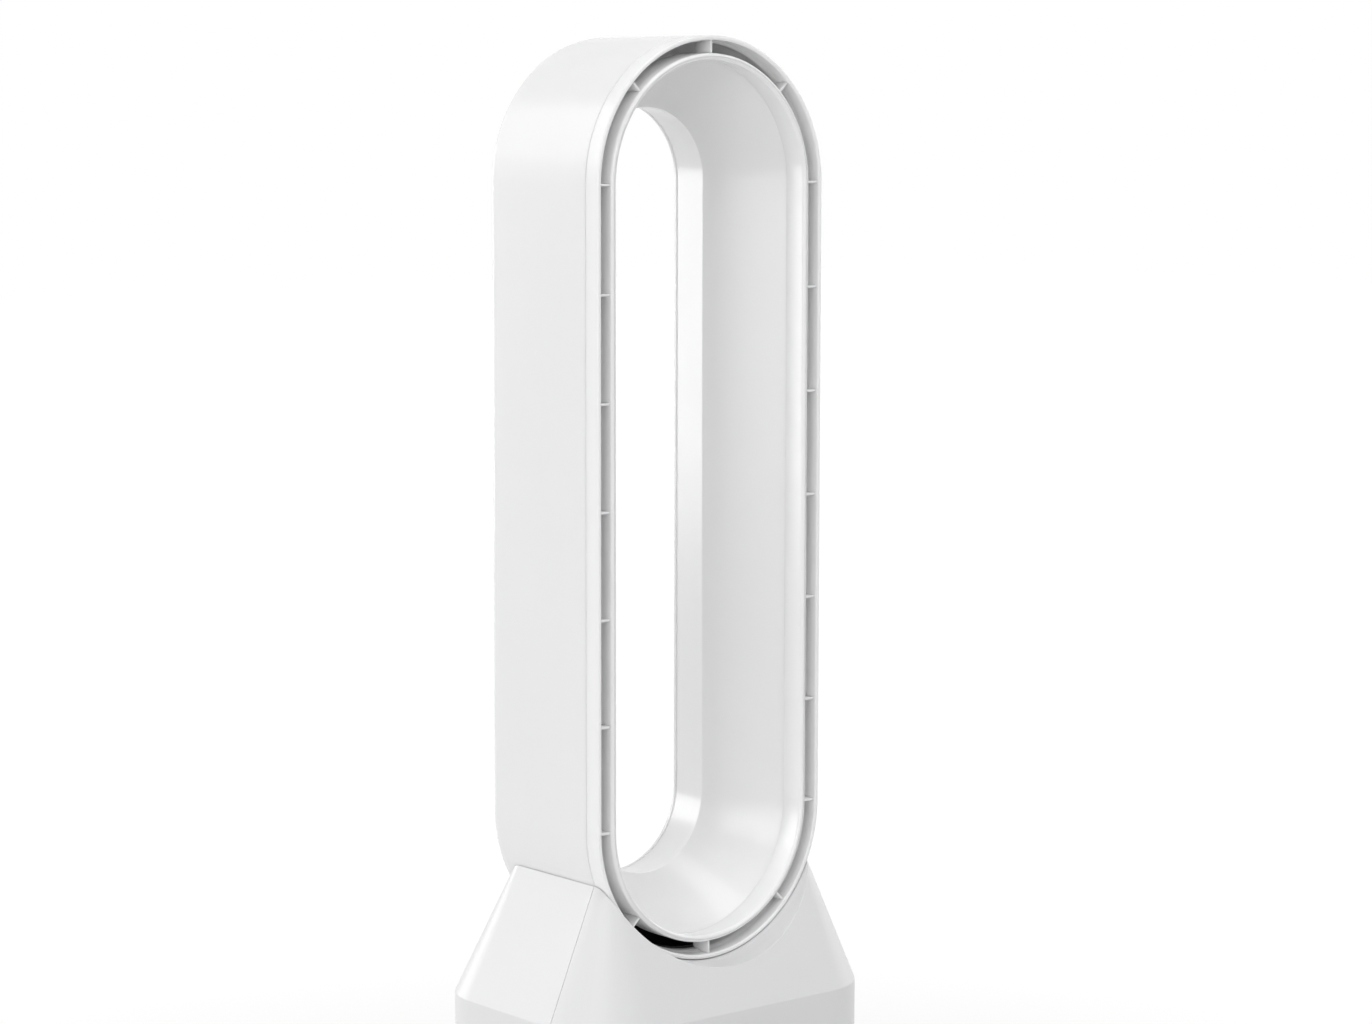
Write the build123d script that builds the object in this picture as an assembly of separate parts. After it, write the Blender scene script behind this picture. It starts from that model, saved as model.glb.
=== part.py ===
"""Bladeless tower fan: a tall oval air loop standing in a scooped, tapered base that sweeps on a flat foot.

Frame: +Z up, the front of the fan faces -Y, origin at the middle of the underside. Millimetres.
"""
import os
from math import atan2, cos, degrees, pi, radians, sin, sqrt, tan

from build123d import *

os.makedirs("parts", exist_ok=True)

# ---- loop: outline and section ------------------------------------------------------------------
loop_half_width = 100.0      # outside of the straights, and radius of both end arcs
loop_depth = 120.0           # front lip to back edge
rib_pitch = 73.0             # spacing of the ribs on the straights
straight_pitches = 6
bezel_depth = 13.5           # front lip to the seam with the outer shell
seam_gap = 0.5
shell_wall = 2.5
shell_back_radius = 5.0
lip_wall = 3.2
slot_width = 8.8
nose_wall = 4.8
duct_wall = 2.4
crease_depth = 21.0          # where the flare turns into the funnel
crease_inset = 2.5           # from the back of the nose to the crease
throat_depth = 72.0
throat_half_width = 51.5
crease_radius = 1.2
throat_radius = 2.0
mouth_depth = 110.0          # rear edge of the opening through the loop
mouth_half_width = 55.5
mouth_lip = 5.0
rib_wall = 1.2
rib_depth = 16.0
rib_setback = 2.2
rib_root = 0.6               # how far a rib is let into the front ring's wall
rib_seat = 6.8               # length of the rib's foot in that wall
rib_taper = 0.7              # back end of a rib inside the ring's tongue
rib_edge = 0.45              # rounding of a rib's front edge
tongue_wall = 1.8
arc_rib_step = 45.0
fit_gap = 0.2                # between pieces that seat in one another
neck_radius = 44.0           # hole through the bottom of the loop
neck_offset = 6.0            # neck axis behind the middle of the loop
collar_wall = 2.6
collar_stand = 2.0           # how far the collar stands up inside the loop
collar_flange = 7.0
loop_screw_clear = 18.0      # screws of the loop beside the neck
loop_screw_step = 32.0       # and ahead of and behind its axis
loop_screw_length = 22.0
loop_boss_radius = 4.6
loop_boss_height = 17.0

# ---- base: shoulder and column ------------------------------------------------------------------
base_half_width = 132.0
base_half_depth = 95.5
base_corner = 50.0
base_wall = 3.0
crease_height = 236.0        # fold between the column and the shoulder
shoulder_rise = 92.0
shoulder_back = 50.0         # back edge of the shoulder where it meets the loop
shoulder_corner = 12.0
fold_radius = 16.0           # between the column and the shoulder
trough_edge = 0.8            # rounding where the trough meets the outside
loop_clearance = 30.0        # bottom of the loop above the fold
scoop_gap = 0.6
cradle_wall = 3.0
seam_lip_wall = 1.6
seam_lip_reach = 6.0
cover_boss_radius = 6.0
cover_boss_inset = 42.0      # from the corner's centre
cover_boss_height = 26.0
cover_screw_length = 16.0
weld = 0.5                   # how far a boss or rib runs into the wall that carries it
screw_radius = 1.9
screw_head_radius = 3.8
screw_head = 2.6
screw_play = 0.08
head_play = 0.3

# ---- foot and turntable -------------------------------------------------------------------------
foot_half_width = 142.0
foot_half_depth = 105.5
foot_corner = 60.0
foot_top = 25.0
foot_wall = 2.6
foot_edge_radius = 4.0
foot_boss_radius = 4.5
foot_boss_inset = 22.0
foot_screw_length = 14.0
screw_recess = 1.4           # depth of the seats for the foot's screws
rubber_foot_radius = 11.0
rubber_foot_height = 5.0
rubber_foot_stand = 3.0      # height of the shell above the floor
rubber_foot_x = 104.0
rubber_foot_y = 68.0
inlet_x = 60.0
inlet_radius = 6.0
inlet_bore = 3.4
inlet_pocket = 6.0           # depth of the pocket that the inlet sits in
inlet_pocket_width = 32.0
inlet_pocket_height = 18.4
bottom_plate = 3.0
ballast_half_width = 96.0
ballast_half_depth = 58.0
ballast_height = 7.0
ballast_corner = 12.0
ballast_hole = 26.0
pad_radius = 9.0
pad_height = 1.5
pad_circle = 72.0
pad_count = 6
turntable_height = 4.0
spindle_radius = 18.0
spindle_play = 0.08
spindle_neck = 12.0
spindle_bore = 8.0           # wire way through the spindle
spindle_screw_length = 7.0
spindle_flat = 1.6           # flat on the neck that keys the fixed gear
lift_play = 0.4              # axial play under the sector gear
nut_radius = 19.0
nut_height = 4.0

# ---- sweep drive --------------------------------------------------------------------------------
gear_module = 1.5
sector_teeth = 40            # on the full circle
pinion_teeth = 12
sector_half_angle = 62.0
gear_height = 6.0
pressure_angle = 20.0
backlash = 0.3
centre_play = 0.15
sweep_motor_radius = 24.0
sweep_motor_height = 19.0
sweep_motor_lift = 4.0       # above the spindle's nut
sweep_ear_wall = 2.0
sweep_ear_reach = 5.0
sweep_screw_length = 10.0
sweep_shaft_radius = 2.5
sweep_ear = 30.0
sweep_post_radius = 4.0

# ---- blower -------------------------------------------------------------------------------------
post_radius = 7.0
post_circle = 80.0
post_height = 46.0
post_angles = (30.0, 150.0, 270.0)
mount_height = 6.0
mount_radius = 8.5
mount_screw_length = 22.0
blower_flange = 4.0
impeller_inlet_radius = 50.0
impeller_outlet_radius = 64.0
hub_inlet_radius = 20.0
hub_outlet_radius = 46.0
impeller_height = 46.0
impeller_lift = 8.0          # bottom of the impeller above the bellmouth's face
blade_count = 9
blade_wall = 1.8
blade_thickening = 3.2       # at the inlet, where a blade leans the most
blade_margin = 1.0           # blade ends short of the hub's ends
blade_steps = 5
blade_root = 3.0             # how deep a blade is set in the hub
hub_wall = 3.0
hub_web = 0.55               # height of the hub's web as a share of the impeller's
blade_sweep = 62.0           # turn of a blade from inlet to outlet, degrees
tip_gap = 1.2
casing_wall = 2.6
bellmouth_radius = 8.0
shaft_radius = 4.0
running_gap = 0.05
shaft_stub = 4.0             # shaft below the impeller
vane_count = 7
vane_wall = 2.2
vane_sweep = 26.0
diffuser_height = 48.0
diffuser_gap = 3.0           # impeller to diffuser
motor_radius = 32.0
motor_height = 34.0
motor_wall = 2.0
motor_lid_wall = 3.0
bush_radius = 9.5
bush_height = 7.0
bush_play = 0.02
stator_radius = 26.0
stator_height = 18.0
stator_teeth = 6
stator_yoke = 5.0
pole_width = 5.0
shoe_width = 11.0
shoe_wall = 2.2
coil_wall = 2.1
rotor_radius = 13.0
rotor_height = 19.0
air_gap = 0.7
gasket_height = 4.0

# ---- controls -----------------------------------------------------------------------------------
button_count = 5
button_radius = 7.5
button_pitch = 25.0
button_height = 150.0        # of the row above the floor
button_stand = 1.4
button_travel = 0.8
button_play = 0.4
button_flange = 1.6          # width of the flange round the cap
window_width = 66.0
window_height = 28.0
window_level = 190.0
window_wall = 2.0
board_setback = 10.0         # control board behind the inside of the cover
board_wall = 1.6
board_width = 140.0
board_height = 84.0
board_level = 172.0
switch_size = 6.0
switch_height = 3.5
plunger_radius = 1.7
plunger_stand = 1.2
board_boss_radius = 3.5
board_screw_length = 9.0
digit_width = 28.0
digit_height = 18.0
receiver_x = 25.0
receiver_width = 6.0
receiver_height = 8.0
receiver_lens = 2.2
power_board_x = -84.0
power_board_y = -12.0
power_board_lift = 5.0
power_board_width = 36.0
power_board_length = 72.0
power_foot_radius = 3.0
power_foot_inset = 6.0
transformer_size = 24.0
transformer_height = 20.0
capacitor_radius = 8.0
capacitor_height = 22.0
relay_width = 10.0
relay_length = 14.0
relay_height = 13.0
terminal_width = 28.0
terminal_size = 10.0

# ---- grilles ------------------------------------------------------------------------------------
grille_low = 52.0
grille_height = 136.0
side_grille_width = 74.0
rear_grille_width = 124.0
grille_frame = 4.0
grille_wall = 3.0
louvre_count = 15
louvre_wall = 1.8
louvre_tilt = 35.0
grille_lip = 3.0
grille_lip_wall = 1.6
grille_bar = 4.0             # upright in the middle of the rear grille

# ---- derived places -----------------------------------------------------------------------------
front = -loop_depth / 2
seam_y = front + bezel_depth
straight = rib_pitch * straight_pitches
arc_low = crease_height + loop_clearance + loop_half_width
arc_high = arc_low + straight
shoulder_top = crease_height + shoulder_rise
shoulder_half_width = sqrt((loop_half_width + scoop_gap) ** 2 - (arc_low - shoulder_top) ** 2)
slot_outer = loop_half_width - lip_wall
nose_outer = slot_outer - slot_width
crease_half_width = nose_outer - crease_inset
column_bottom = foot_top + pad_height
turntable_top = column_bottom + turntable_height
gear_bottom = turntable_top + lift_play
gear_top = gear_bottom + gear_height
nut_top = gear_top + nut_height
pinion_distance = gear_module * (sector_teeth + pinion_teeth) / 2 + centre_play
post_top = turntable_top + post_height
bellmouth_z = post_top + mount_height
impeller_z = bellmouth_z + impeller_lift
impeller_top = impeller_z + impeller_height
diffuser_z = impeller_top + diffuser_gap
diffuser_top = diffuser_z + diffuser_height
neck_duct_z = diffuser_top + gasket_height
collar_z = crease_height + 8.0
inside_front = -base_half_depth + base_wall
board_y = inside_front + board_setback
casing_radius = impeller_outlet_radius + tip_gap
inlet_z = rubber_foot_stand + bottom_plate + inlet_radius + 1.2
sweep_motor_z = nut_top + sweep_motor_lift
rotor_z = diffuser_z + motor_wall + bush_height + 1.5
motor_top = diffuser_z + motor_height
upper_bush_z = motor_top - bush_height / 2
cradle_radius = loop_half_width + scoop_gap
shell_inside = loop_half_width - shell_wall
tongue_outside = shell_inside - fit_gap
tongue_inside = tongue_outside - tongue_wall


def put(shape, name):
    """Writes one sub-part."""
    export_step(shape, "parts/" + name + ".step")


def ring(outer, inner, bottom, height, x=0.0, y=0.0):
    """A round ring or tube standing on the level bottom."""
    body = Pos(x, y, bottom) * extrude(Circle(outer) - Circle(inner), amount=height)
    return body


def disc(radius, bottom, height, x=0.0, y=0.0):
    """A round disc or pin standing on the level bottom."""
    return Pos(x, y, bottom) * extrude(Circle(radius), amount=height)


def block(x0, x1, y0, y1, z0, z1):
    """A rectangular block between two corners."""
    centre = Pos((x0 + x1) / 2, (y0 + y1) / 2, (z0 + z1) / 2)
    return centre * Box(abs(x1 - x0), abs(y1 - y0), abs(z1 - z0))


def revolved(points):
    """A closed outline of (radius, height) points turned about the Z axis."""
    outline = Polyline(*[(r, 0, z) for r, z in points], close=True)
    return revolve(make_face(outline), axis=Axis.Z)


def screw(x, y, head_z, length, up=True):
    """A pan-head screw along Z; its head seats at head_z."""
    sign = 1 if up else -1
    head = Pos(x, y, head_z - sign * screw_head / 2) * Cylinder(screw_head_radius, screw_head)
    shank = Pos(x, y, head_z + sign * length / 2) * Cylinder(screw_radius, length)
    return head + shank


# ---- loop ---------------------------------------------------------------------------------------
def around_loop(profile):
    """Carries a section, drawn in XY on the right-hand side, round the whole oval."""
    right = Pos(0, 0, arc_low) * extrude(profile, amount=straight)
    left = mirror(right, about=Plane.YZ)
    top = revolve(Pos(0, 0, arc_high) * profile, axis=Axis((0, 0, arc_high), (0, -1, 0)), revolution_arc=180)
    low = revolve(Pos(0, 0, arc_low) * profile, axis=Axis((0, 0, arc_low), (0, 1, 0)), revolution_arc=180)
    return right + left + top + low


def oval_block(half_width, y0, y1):
    """A solid block with the loop's oval outline, from y0 to y1."""
    plane = Plane(origin=(0, y0, (arc_low + arc_high) / 2), x_dir=(1, 0, 0), z_dir=(0, 1, 0))
    outline = SlotOverall(straight + 2 * half_width, 2 * half_width, rotation=90)
    return extrude(plane * outline, amount=y1 - y0)


def neck_hole(radius, bottom, top):
    return disc(radius, bottom, top - bottom, 0, neck_offset)


def loop_screw_places():
    """The four screws between the loop and the base, round the neck."""
    x = neck_radius + loop_screw_clear
    ends = (neck_offset - loop_screw_step, neck_offset + loop_screw_step)
    return [(sx * x, y) for sx in (-1, 1) for y in ends]


def under_loop(radius, x):
    """Height of a round surface about the lower arc's axis, at x, on its under side."""
    return arc_low - sqrt(radius * radius - x * x)


def make_outer_shell():
    """The back and the outside of the loop, with the rolled-in rear mouth."""
    w = loop_half_width
    t = shell_wall
    back = loop_depth / 2
    r = shell_back_radius
    y0 = seam_y + seam_gap / 2
    rim = front + mouth_depth
    inner = mouth_half_width
    with BuildLine() as line:
        Line((w, y0), (w, back - r))
        RadiusArc((w, back - r), (w - r, back), -r)
        Line((w - r, back), (inner + 4.0, rim + 0.4))
        Spline((inner + 4.0, rim + 0.4), (inner, rim - 3.0), tangents=((-1, -0.25), (0, -1)))
        Line((inner, rim - 3.0), (inner, rim - mouth_lip))
        Line((inner, rim - mouth_lip), (inner + t, rim - mouth_lip))
        Line((inner + t, rim - mouth_lip), (inner + t, rim - 3.0))
        Line((inner + t, rim - 3.0), (w - r, back - t))
        RadiusArc((w - r, back - t), (w - t, back - r), r - t)
        Line((w - t, back - r), (w - t, y0))
        Line((w - t, y0), (w, y0))
    shell = around_loop(make_face(line.line))
    shell -= neck_hole(neck_radius, arc_low - w - 1, arc_low)
    lining = oval_block(w - t / 2, y0, back - t)
    for x, y in loop_screw_places():
        z = under_loop(shell_inside, x)
        boss = disc(loop_boss_radius, z - loop_boss_height / 2, loop_boss_height, x, y) & lining
        hole = disc(screw_radius + screw_play, z - loop_boss_height, 1.5 * loop_boss_height, x, y)
        shell = shell + boss - hole
    return shell


def make_bezel():
    """The front ring: a rounded lip, a tongue behind the seam, and shallow seats for the ribs."""
    w = loop_half_width
    s = slot_outer
    r = lip_wall / 2 - 0.3
    y1 = seam_y - seam_gap / 2
    tongue_end = seam_y + 5.0
    with BuildLine() as line:
        Line((w, y1), (w, front + r))
        RadiusArc((w, front + r), (w - r, front), r)
        Line((w - r, front), (s + r, front))
        RadiusArc((s + r, front), (s, front + r), r)
        Line((s, front + r), (s, y1 - 3.0))
        Line((s, y1 - 3.0), (tongue_inside, y1))
        Line((tongue_inside, y1), (tongue_inside, tongue_end))
        Line((tongue_inside, tongue_end), (tongue_outside, tongue_end))
        Line((tongue_outside, tongue_end), (tongue_outside, y1))
        Line((tongue_outside, y1), (w, y1))
    return around_loop(make_face(line.line)) - make_ribs(0)


def make_ribs(edge):
    """The ribs that bridge the slot, each let into the front ring at its outer end."""
    ribs = Part()
    for z, turn in rib_places():
        ribs += rib(z, turn, edge)
    return ribs


def rib_places():
    """Height of the centre and direction of every rib; the ribs of the arcs lie on their radii."""
    places = []
    for k in range(straight_pitches + 1):
        z = arc_low + k * rib_pitch
        places += [(z, 0.0), (z, 180.0)]
    turns = [arc_rib_step * k for k in (1, 2, 3)]
    places += [(arc_high, turn) for turn in turns]
    places += [(arc_low, -turn) for turn in turns]
    return places


def rib(z, turn, edge):
    """One thin rib across the slot, deep in the direction of the air, its front edges rounded."""
    inner = nose_outer + fit_gap
    outer = slot_outer + rib_root
    y0 = front + rib_setback
    y1 = y0 + rib_depth
    tail = tongue_inside - rib_taper
    corners = [(inner, y0), (outer, y0), (outer, y0 + rib_seat), (tail, y1), (inner, y1)]
    outline = make_face(Polyline(*corners, close=True))
    body = Pos(0, 0, -rib_wall / 2) * extrude(outline, amount=rib_wall)
    if edge:
        body = fillet(body.edges().filter_by(Axis.X).group_by(Axis.Y)[0], edge)
    return Pos(0, 0, z) * Rot(0, -turn, 0) * body


def duct_line():
    """Inside of the loop's opening, from the nose to the rear seam."""
    nose_r = nose_wall / 2
    return [
        (nose_outer - nose_wall, front + nose_r),
        (crease_half_width, front + crease_depth),
        (throat_half_width, front + throat_depth),
        (mouth_half_width, front + mouth_depth - mouth_lip - fit_gap),
    ]


def make_inner_duct():
    """The nozzle's nose, the funnel and the rear flare as one swept wall."""
    t = duct_wall
    nose_r = nose_wall / 2
    nose, crease, throat, tail = duct_line()
    with BuildLine() as line:
        RadiusArc((nose_outer, nose[1]), nose, -nose_r)
        Line(nose, crease)
        Line(crease, throat)
        Line(throat, tail)
        Line(tail, (tail[0] + t, tail[1]))
        Line((tail[0] + t, tail[1]), (throat[0] + t + 1.2, throat[1]))
        Line((throat[0] + t + 1.2, throat[1]), (nose_outer, crease[1] + 4.0))
        Line((nose_outer, crease[1] + 4.0), (nose_outer, nose[1]))
    wall = make_face(line.line)
    for place, radius in ((crease, crease_radius), (throat, throat_radius)):
        corner = wall.vertices().sort_by_distance(Vector(*place))[0]
        wall = fillet(corner, radius)
    return around_loop(wall)


def make_neck_collar():
    """Dark collar that lines the hole between the base and the loop."""
    r = neck_radius - fit_gap
    top = under_loop(shell_inside, r) + 8.0
    tube = ring(r, r - collar_wall, collar_z, top - collar_z, 0, neck_offset)
    tube -= oval_block(shell_inside - collar_stand, -loop_depth, loop_depth)
    flange = ring(r + collar_flange, r - collar_wall, collar_z, 3.0, 0, neck_offset)
    return tube + flange


# ---- base covers --------------------------------------------------------------------------------
def section(half_width, y0, y1, corner, z):
    """A rounded rectangle at the level z."""
    outline = RectangleRounded(2 * half_width, y1 - y0, corner)
    return Pos(0, (y0 + y1) / 2, z) * outline


def base_body(inset):
    """Column and shoulder as one solid, drawn in by inset all round."""
    low = section(base_half_width - inset, inset - base_half_depth, base_half_depth - inset,
                  base_corner - inset, crease_height)
    high = section(shoulder_half_width - inset, front + inset, shoulder_back - inset,
                   shoulder_corner - inset, shoulder_top)
    shoulder = loft([low, high], ruled=True)
    column = extrude(Pos(0, 0, column_bottom - crease_height) * low, amount=crease_height - column_bottom)
    return shoulder + column


def scoop(radius):
    """The round trough along Y that the loop stands in."""
    length = 4 * base_half_depth
    trough = Pos(0, 0, arc_low) * Rot(90, 0, 0) * Cylinder(radius, length)
    return trough + block(-radius, radius, -length / 2, length / 2, arc_low, arc_low + radius)


def make_base_shell():
    """Both covers in one: walls, and the cradle under the loop."""
    outer = base_body(0)
    outer = fillet(outer.edges().filter_by_position(Axis.Z, crease_height, crease_height), fold_radius)
    trough = scoop(cradle_radius)
    cradle = (outer & scoop(cradle_radius + cradle_wall)) - trough
    walls = outer - base_body(base_wall) - trough
    shell = walls + cradle
    shell = fillet([edge for edge in shell.edges() if on_trough(edge)], trough_edge)
    shell -= disc(neck_radius + fit_gap, crease_height, shoulder_rise, 0, neck_offset)
    return shell


def on_trough(edge):
    """Whether an edge lies on the trough's surface all along."""
    points = [edge @ share for share in (0, 0.25, 0.5, 0.75, 1)]
    return all(abs(sqrt(p.X ** 2 + (p.Z - arc_low) ** 2) - cradle_radius) < weld / 10 for p in points)


def corner_places(radius):
    """The four places at a distance from the corners' centres, front left first."""
    x = base_half_width - base_corner + radius * sqrt(0.5)
    y = base_half_depth - base_corner + radius * sqrt(0.5)
    return [(-x, -y), (x, -y), (-x, y), (x, y)]


def cover_bosses(places):
    """Screw bosses that stand on the turntable in the corners of a cover."""
    bosses = Part()
    for x, y in places:
        tube = ring(cover_boss_radius, screw_radius + screw_play, turntable_top, cover_boss_height, x, y)
        bosses += tube
    return bosses


def make_front_cover(shell):
    """Front of the base: the slanted face, the control panel and its bosses."""
    far = 2 * base_half_width
    cover = shell & block(-far, far, -far, seam_y - seam_gap / 2, 0, arc_high)
    cover += cover_bosses(corner_places(cover_boss_inset)[:2]) & base_body(weld)
    face = -base_half_depth
    cover -= block(-window_width / 2, window_width / 2, face - 1, inside_front + 1,
                   window_level - window_height / 2, window_level + window_height / 2)
    for x in button_places():
        cover -= Pos(x, face, button_height) * Rot(90, 0, 0) * Cylinder(button_radius + button_play, 10)
        guide = Cylinder(button_radius + button_flange + 2.0, 3.4)
        guide -= Cylinder(button_radius + button_flange + button_play, 4)
        cover += Pos(x, inside_front + 1.7, button_height) * Rot(90, 0, 0) * guide
    for x, z in board_holes():
        boss = Cylinder(board_boss_radius, board_setback) - Cylinder(screw_radius + screw_play, 12)
        cover += Pos(x, inside_front + board_setback / 2, z) * Rot(90, 0, 0) * boss
    return cover


def make_rear_cover(shell):
    """Sides and back of the base, with the windows for the grilles and the cradle round the neck."""
    far = 2 * base_half_width
    cover = shell & block(-far, far, seam_y + seam_gap / 2, far, 0, arc_high)
    cover += cover_bosses(corner_places(cover_boss_inset)[2:]) & base_body(weld)
    cover += seam_lip()
    z0 = grille_low
    z1 = grille_low + grille_height
    side = side_grille_width / 2
    cover -= block(-far, far, -side, side, z0, z1)
    cover -= block(-rear_grille_width / 2, rear_grille_width / 2, 0, far, z0, z1)
    for x, y in loop_screw_places():
        z = under_loop(cradle_radius, x)
        pad = disc(cover_boss_radius, z - 10, 20, x, y) - scoop(cradle_radius)
        cover += pad
        cover -= disc(screw_radius + screw_play, z - 20, 40, x, y)
    return cover


def seam_lip():
    """Lip of the rear cover that reaches inside the front one and keeps the two flush."""
    far = 2 * base_half_width
    low = turntable_top + cover_boss_height
    top = crease_height - 6.0
    core = base_body(base_wall + fit_gap + seam_lip_wall)
    ahead = base_body(base_wall + fit_gap) - core
    behind = base_body(base_wall - weld) - core
    ahead &= block(-far, far, seam_y - seam_lip_reach, seam_y + seam_lip_reach, low, top)
    behind &= block(-far, far, seam_y + seam_gap, seam_y + seam_lip_reach, low, top)
    return ahead + behind


def make_loop_screws():
    """Screws that go up through the cradle into the loop."""
    group = Part()
    for x, y in loop_screw_places():
        group += screw(x, y, under_loop(cradle_radius, x) - 10, loop_screw_length)
    return group


# ---- grilles ------------------------------------------------------------------------------------
def grille_panel(width):
    """A framed panel of slanted louvres, its outside on the plane y = 0, its middle at the origin."""
    w = width / 2 - fit_gap
    h = grille_height / 2 - fit_gap
    f = grille_frame
    frame = block(-w, w, 0, grille_wall, -h, h) - block(f - w, w - f, -1, grille_wall + 1, f - h, h - f)
    lip = block(-w - grille_lip, w + grille_lip, grille_wall, grille_wall + grille_lip_wall,
                -h - grille_lip, h + grille_lip)
    lip -= block(f - w, w - f, 0, 10, f - h, h - f)
    panel = frame + lip
    pitch = 2 * (h - f) / louvre_count
    rise = grille_wall * tan(radians(louvre_tilt))
    for k in range(1, louvre_count):
        z = f - h + k * pitch
        half = louvre_wall / 2
        inside = z + rise
        corners = [(0, z - half), (grille_wall, inside - half), (grille_wall, inside + half), (0, z + half)]
        outline = Polyline(*[(0, y, level) for y, level in corners], close=True)
        panel += Pos(f - w, 0, 0) * extrude(make_face(outline), amount=2 * (w - f), dir=(1, 0, 0))
    return panel


def make_rear_grille():
    panel = grille_panel(rear_grille_width)
    reach = grille_height / 2 - grille_frame
    panel += block(-grille_bar / 2, grille_bar / 2, 0, grille_wall, -reach, reach)
    level = grille_low + grille_height / 2
    return Pos(0, base_half_depth, level) * Rot(0, 0, 180) * panel


def make_side_grille(side):
    level = grille_low + grille_height / 2
    turn = 90 if side > 0 else -90
    return Pos(side * base_half_width, 0, level) * Rot(0, 0, turn) * grille_panel(side_grille_width)


# ---- controls -----------------------------------------------------------------------------------
def button_places():
    return [(k - (button_count - 1) / 2) * button_pitch for k in range(button_count)]


def board_holes():
    x = board_width / 2 - 6
    z = board_height / 2 - 6
    return [(sx * x, board_level + sz * z) for sx in (-1, 1) for sz in (-1, 1)]


def make_button(x):
    """A domed cap, the flange that stops it behind the cover, and the stem that meets its switch."""
    face = -base_half_depth
    plunger_tip = board_y - switch_height - plunger_stand
    profile = [
        (0.0, face - button_stand),
        (button_radius - 1.4, face - button_stand + 0.35),
        (button_radius, face - button_stand + 1.3),
        (button_radius, inside_front),
        (button_radius + button_flange, inside_front),
        (button_radius + button_flange, inside_front + 1.2),
        (2.2, inside_front + 1.2),
        (2.2, plunger_tip - button_travel - 0.15),
        (0.0, plunger_tip - button_travel - 0.15),
    ]
    outline = make_face(Polyline(*[(r, y, 0) for r, y in profile], close=True))
    return Pos(x, 0, button_height) * revolve(outline, axis=Axis.Y)


def make_window():
    """Smoked window over the digits, with a rim that seats behind the cover."""
    w = window_width / 2 - fit_gap
    h = window_height / 2 - fit_gap
    z = window_level
    face = -base_half_depth
    pane = block(-w, w, face + 0.3, inside_front, z - h, z + h)
    pane = fillet(pane.faces().sort_by(Axis.Y)[0].edges(), 0.6)
    rim = block(-w - 3, w + 3, inside_front, inside_front + window_wall, z - h - 3, z + h + 3)
    return pane + rim


def make_control_board():
    board = block(-board_width / 2, board_width / 2, board_y, board_y + board_wall,
                  board_level - board_height / 2, board_level + board_height / 2)
    for x, z in board_holes():
        board -= Pos(x, board_y, z) * Rot(90, 0, 0) * Cylinder(screw_radius + screw_play, 10)
    return board


def make_board_screws():
    group = Part()
    for x, z in board_holes():
        group += Pos(x, board_y + board_wall, z) * Rot(90, 0, 0) * screw(0, 0, 0, board_screw_length)
    return group


def make_switches():
    """Small push switches on the board, one behind each button."""
    group = Part()
    s = switch_size / 2
    for x in button_places():
        body = block(x - s, x + s, board_y - switch_height, board_y, button_height - s, button_height + s)
        tip = Rot(90, 0, 0) * Cylinder(plunger_radius, plunger_stand)
        group += body + Pos(x, board_y - switch_height - plunger_stand / 2, button_height) * tip
    return group


def make_digit_display():
    """A two-digit module whose face stands behind the window."""
    y0 = inside_front + window_wall + 0.5
    return block(-digit_width / 2, digit_width / 2, y0, board_y,
                 window_level - digit_height / 2, window_level + digit_height / 2)


def make_receiver():
    """Remote-control receiver beside the digits."""
    face = inside_front + window_wall + 1.0 + receiver_lens
    body = block(receiver_x - receiver_width / 2, receiver_x + receiver_width / 2, face, board_y,
                 window_level - receiver_height / 2, window_level + receiver_height / 2)
    return body + Pos(receiver_x, face, window_level) * Sphere(receiver_lens)


# ---- foot ---------------------------------------------------------------------------------------
def foot_section(inset, z):
    return section(foot_half_width - inset, inset - foot_half_depth, foot_half_depth - inset,
                   foot_corner - inset, z)


def make_foot_shell():
    """Flat foot with a rounded top edge, open below, with bosses for its bottom plate."""
    low = rubber_foot_stand
    body = extrude(foot_section(0, low), amount=foot_top - low)
    body = fillet(body.faces().sort_by(Axis.Z)[-1].edges(), foot_edge_radius)
    body -= extrude(foot_section(foot_wall, low), amount=foot_top - foot_wall - low)
    z0 = low + bottom_plate
    for x, y in foot_boss_places():
        body += ring(foot_boss_radius, screw_radius + screw_play, z0, foot_top - foot_wall - z0 + weld, x, y)
    for k in range(3):
        x, y = spindle_screw_place(k)
        body -= disc(screw_radius + screw_play, foot_top - 6, 10, x, y)
    body -= disc(spindle_bore, foot_top - 6, 10)
    body -= inlet_pocket_block(0)
    lining = inlet_pocket_block(foot_wall) - inlet_pocket_block(0)
    body += lining & extrude(foot_section(1, low), amount=foot_top - low - 1)
    inlet = Pos(inlet_x, foot_half_depth - inlet_pocket, inlet_z) * Rot(90, 0, 0)
    body -= inlet * Cylinder(inlet_radius + fit_gap, 20)
    return body


def inlet_pocket_block(wall):
    """The pocket in the back of the foot, grown by wall on its inner sides."""
    x = inlet_pocket_width / 2 + wall
    low = rubber_foot_stand - 1
    top = rubber_foot_stand + inlet_pocket_height + wall
    y = foot_half_depth - inlet_pocket - wall
    return block(inlet_x - x, inlet_x + x, y, foot_half_depth + 1, low, top)


def foot_boss_places():
    x = foot_half_width - foot_boss_inset
    y = foot_half_depth - foot_boss_inset
    corners = [(sx * (x - foot_boss_inset), sy * y) for sx in (-1, 1) for sy in (-1, 1)]
    return corners + [(x, 0), (-x, 0)]


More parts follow.
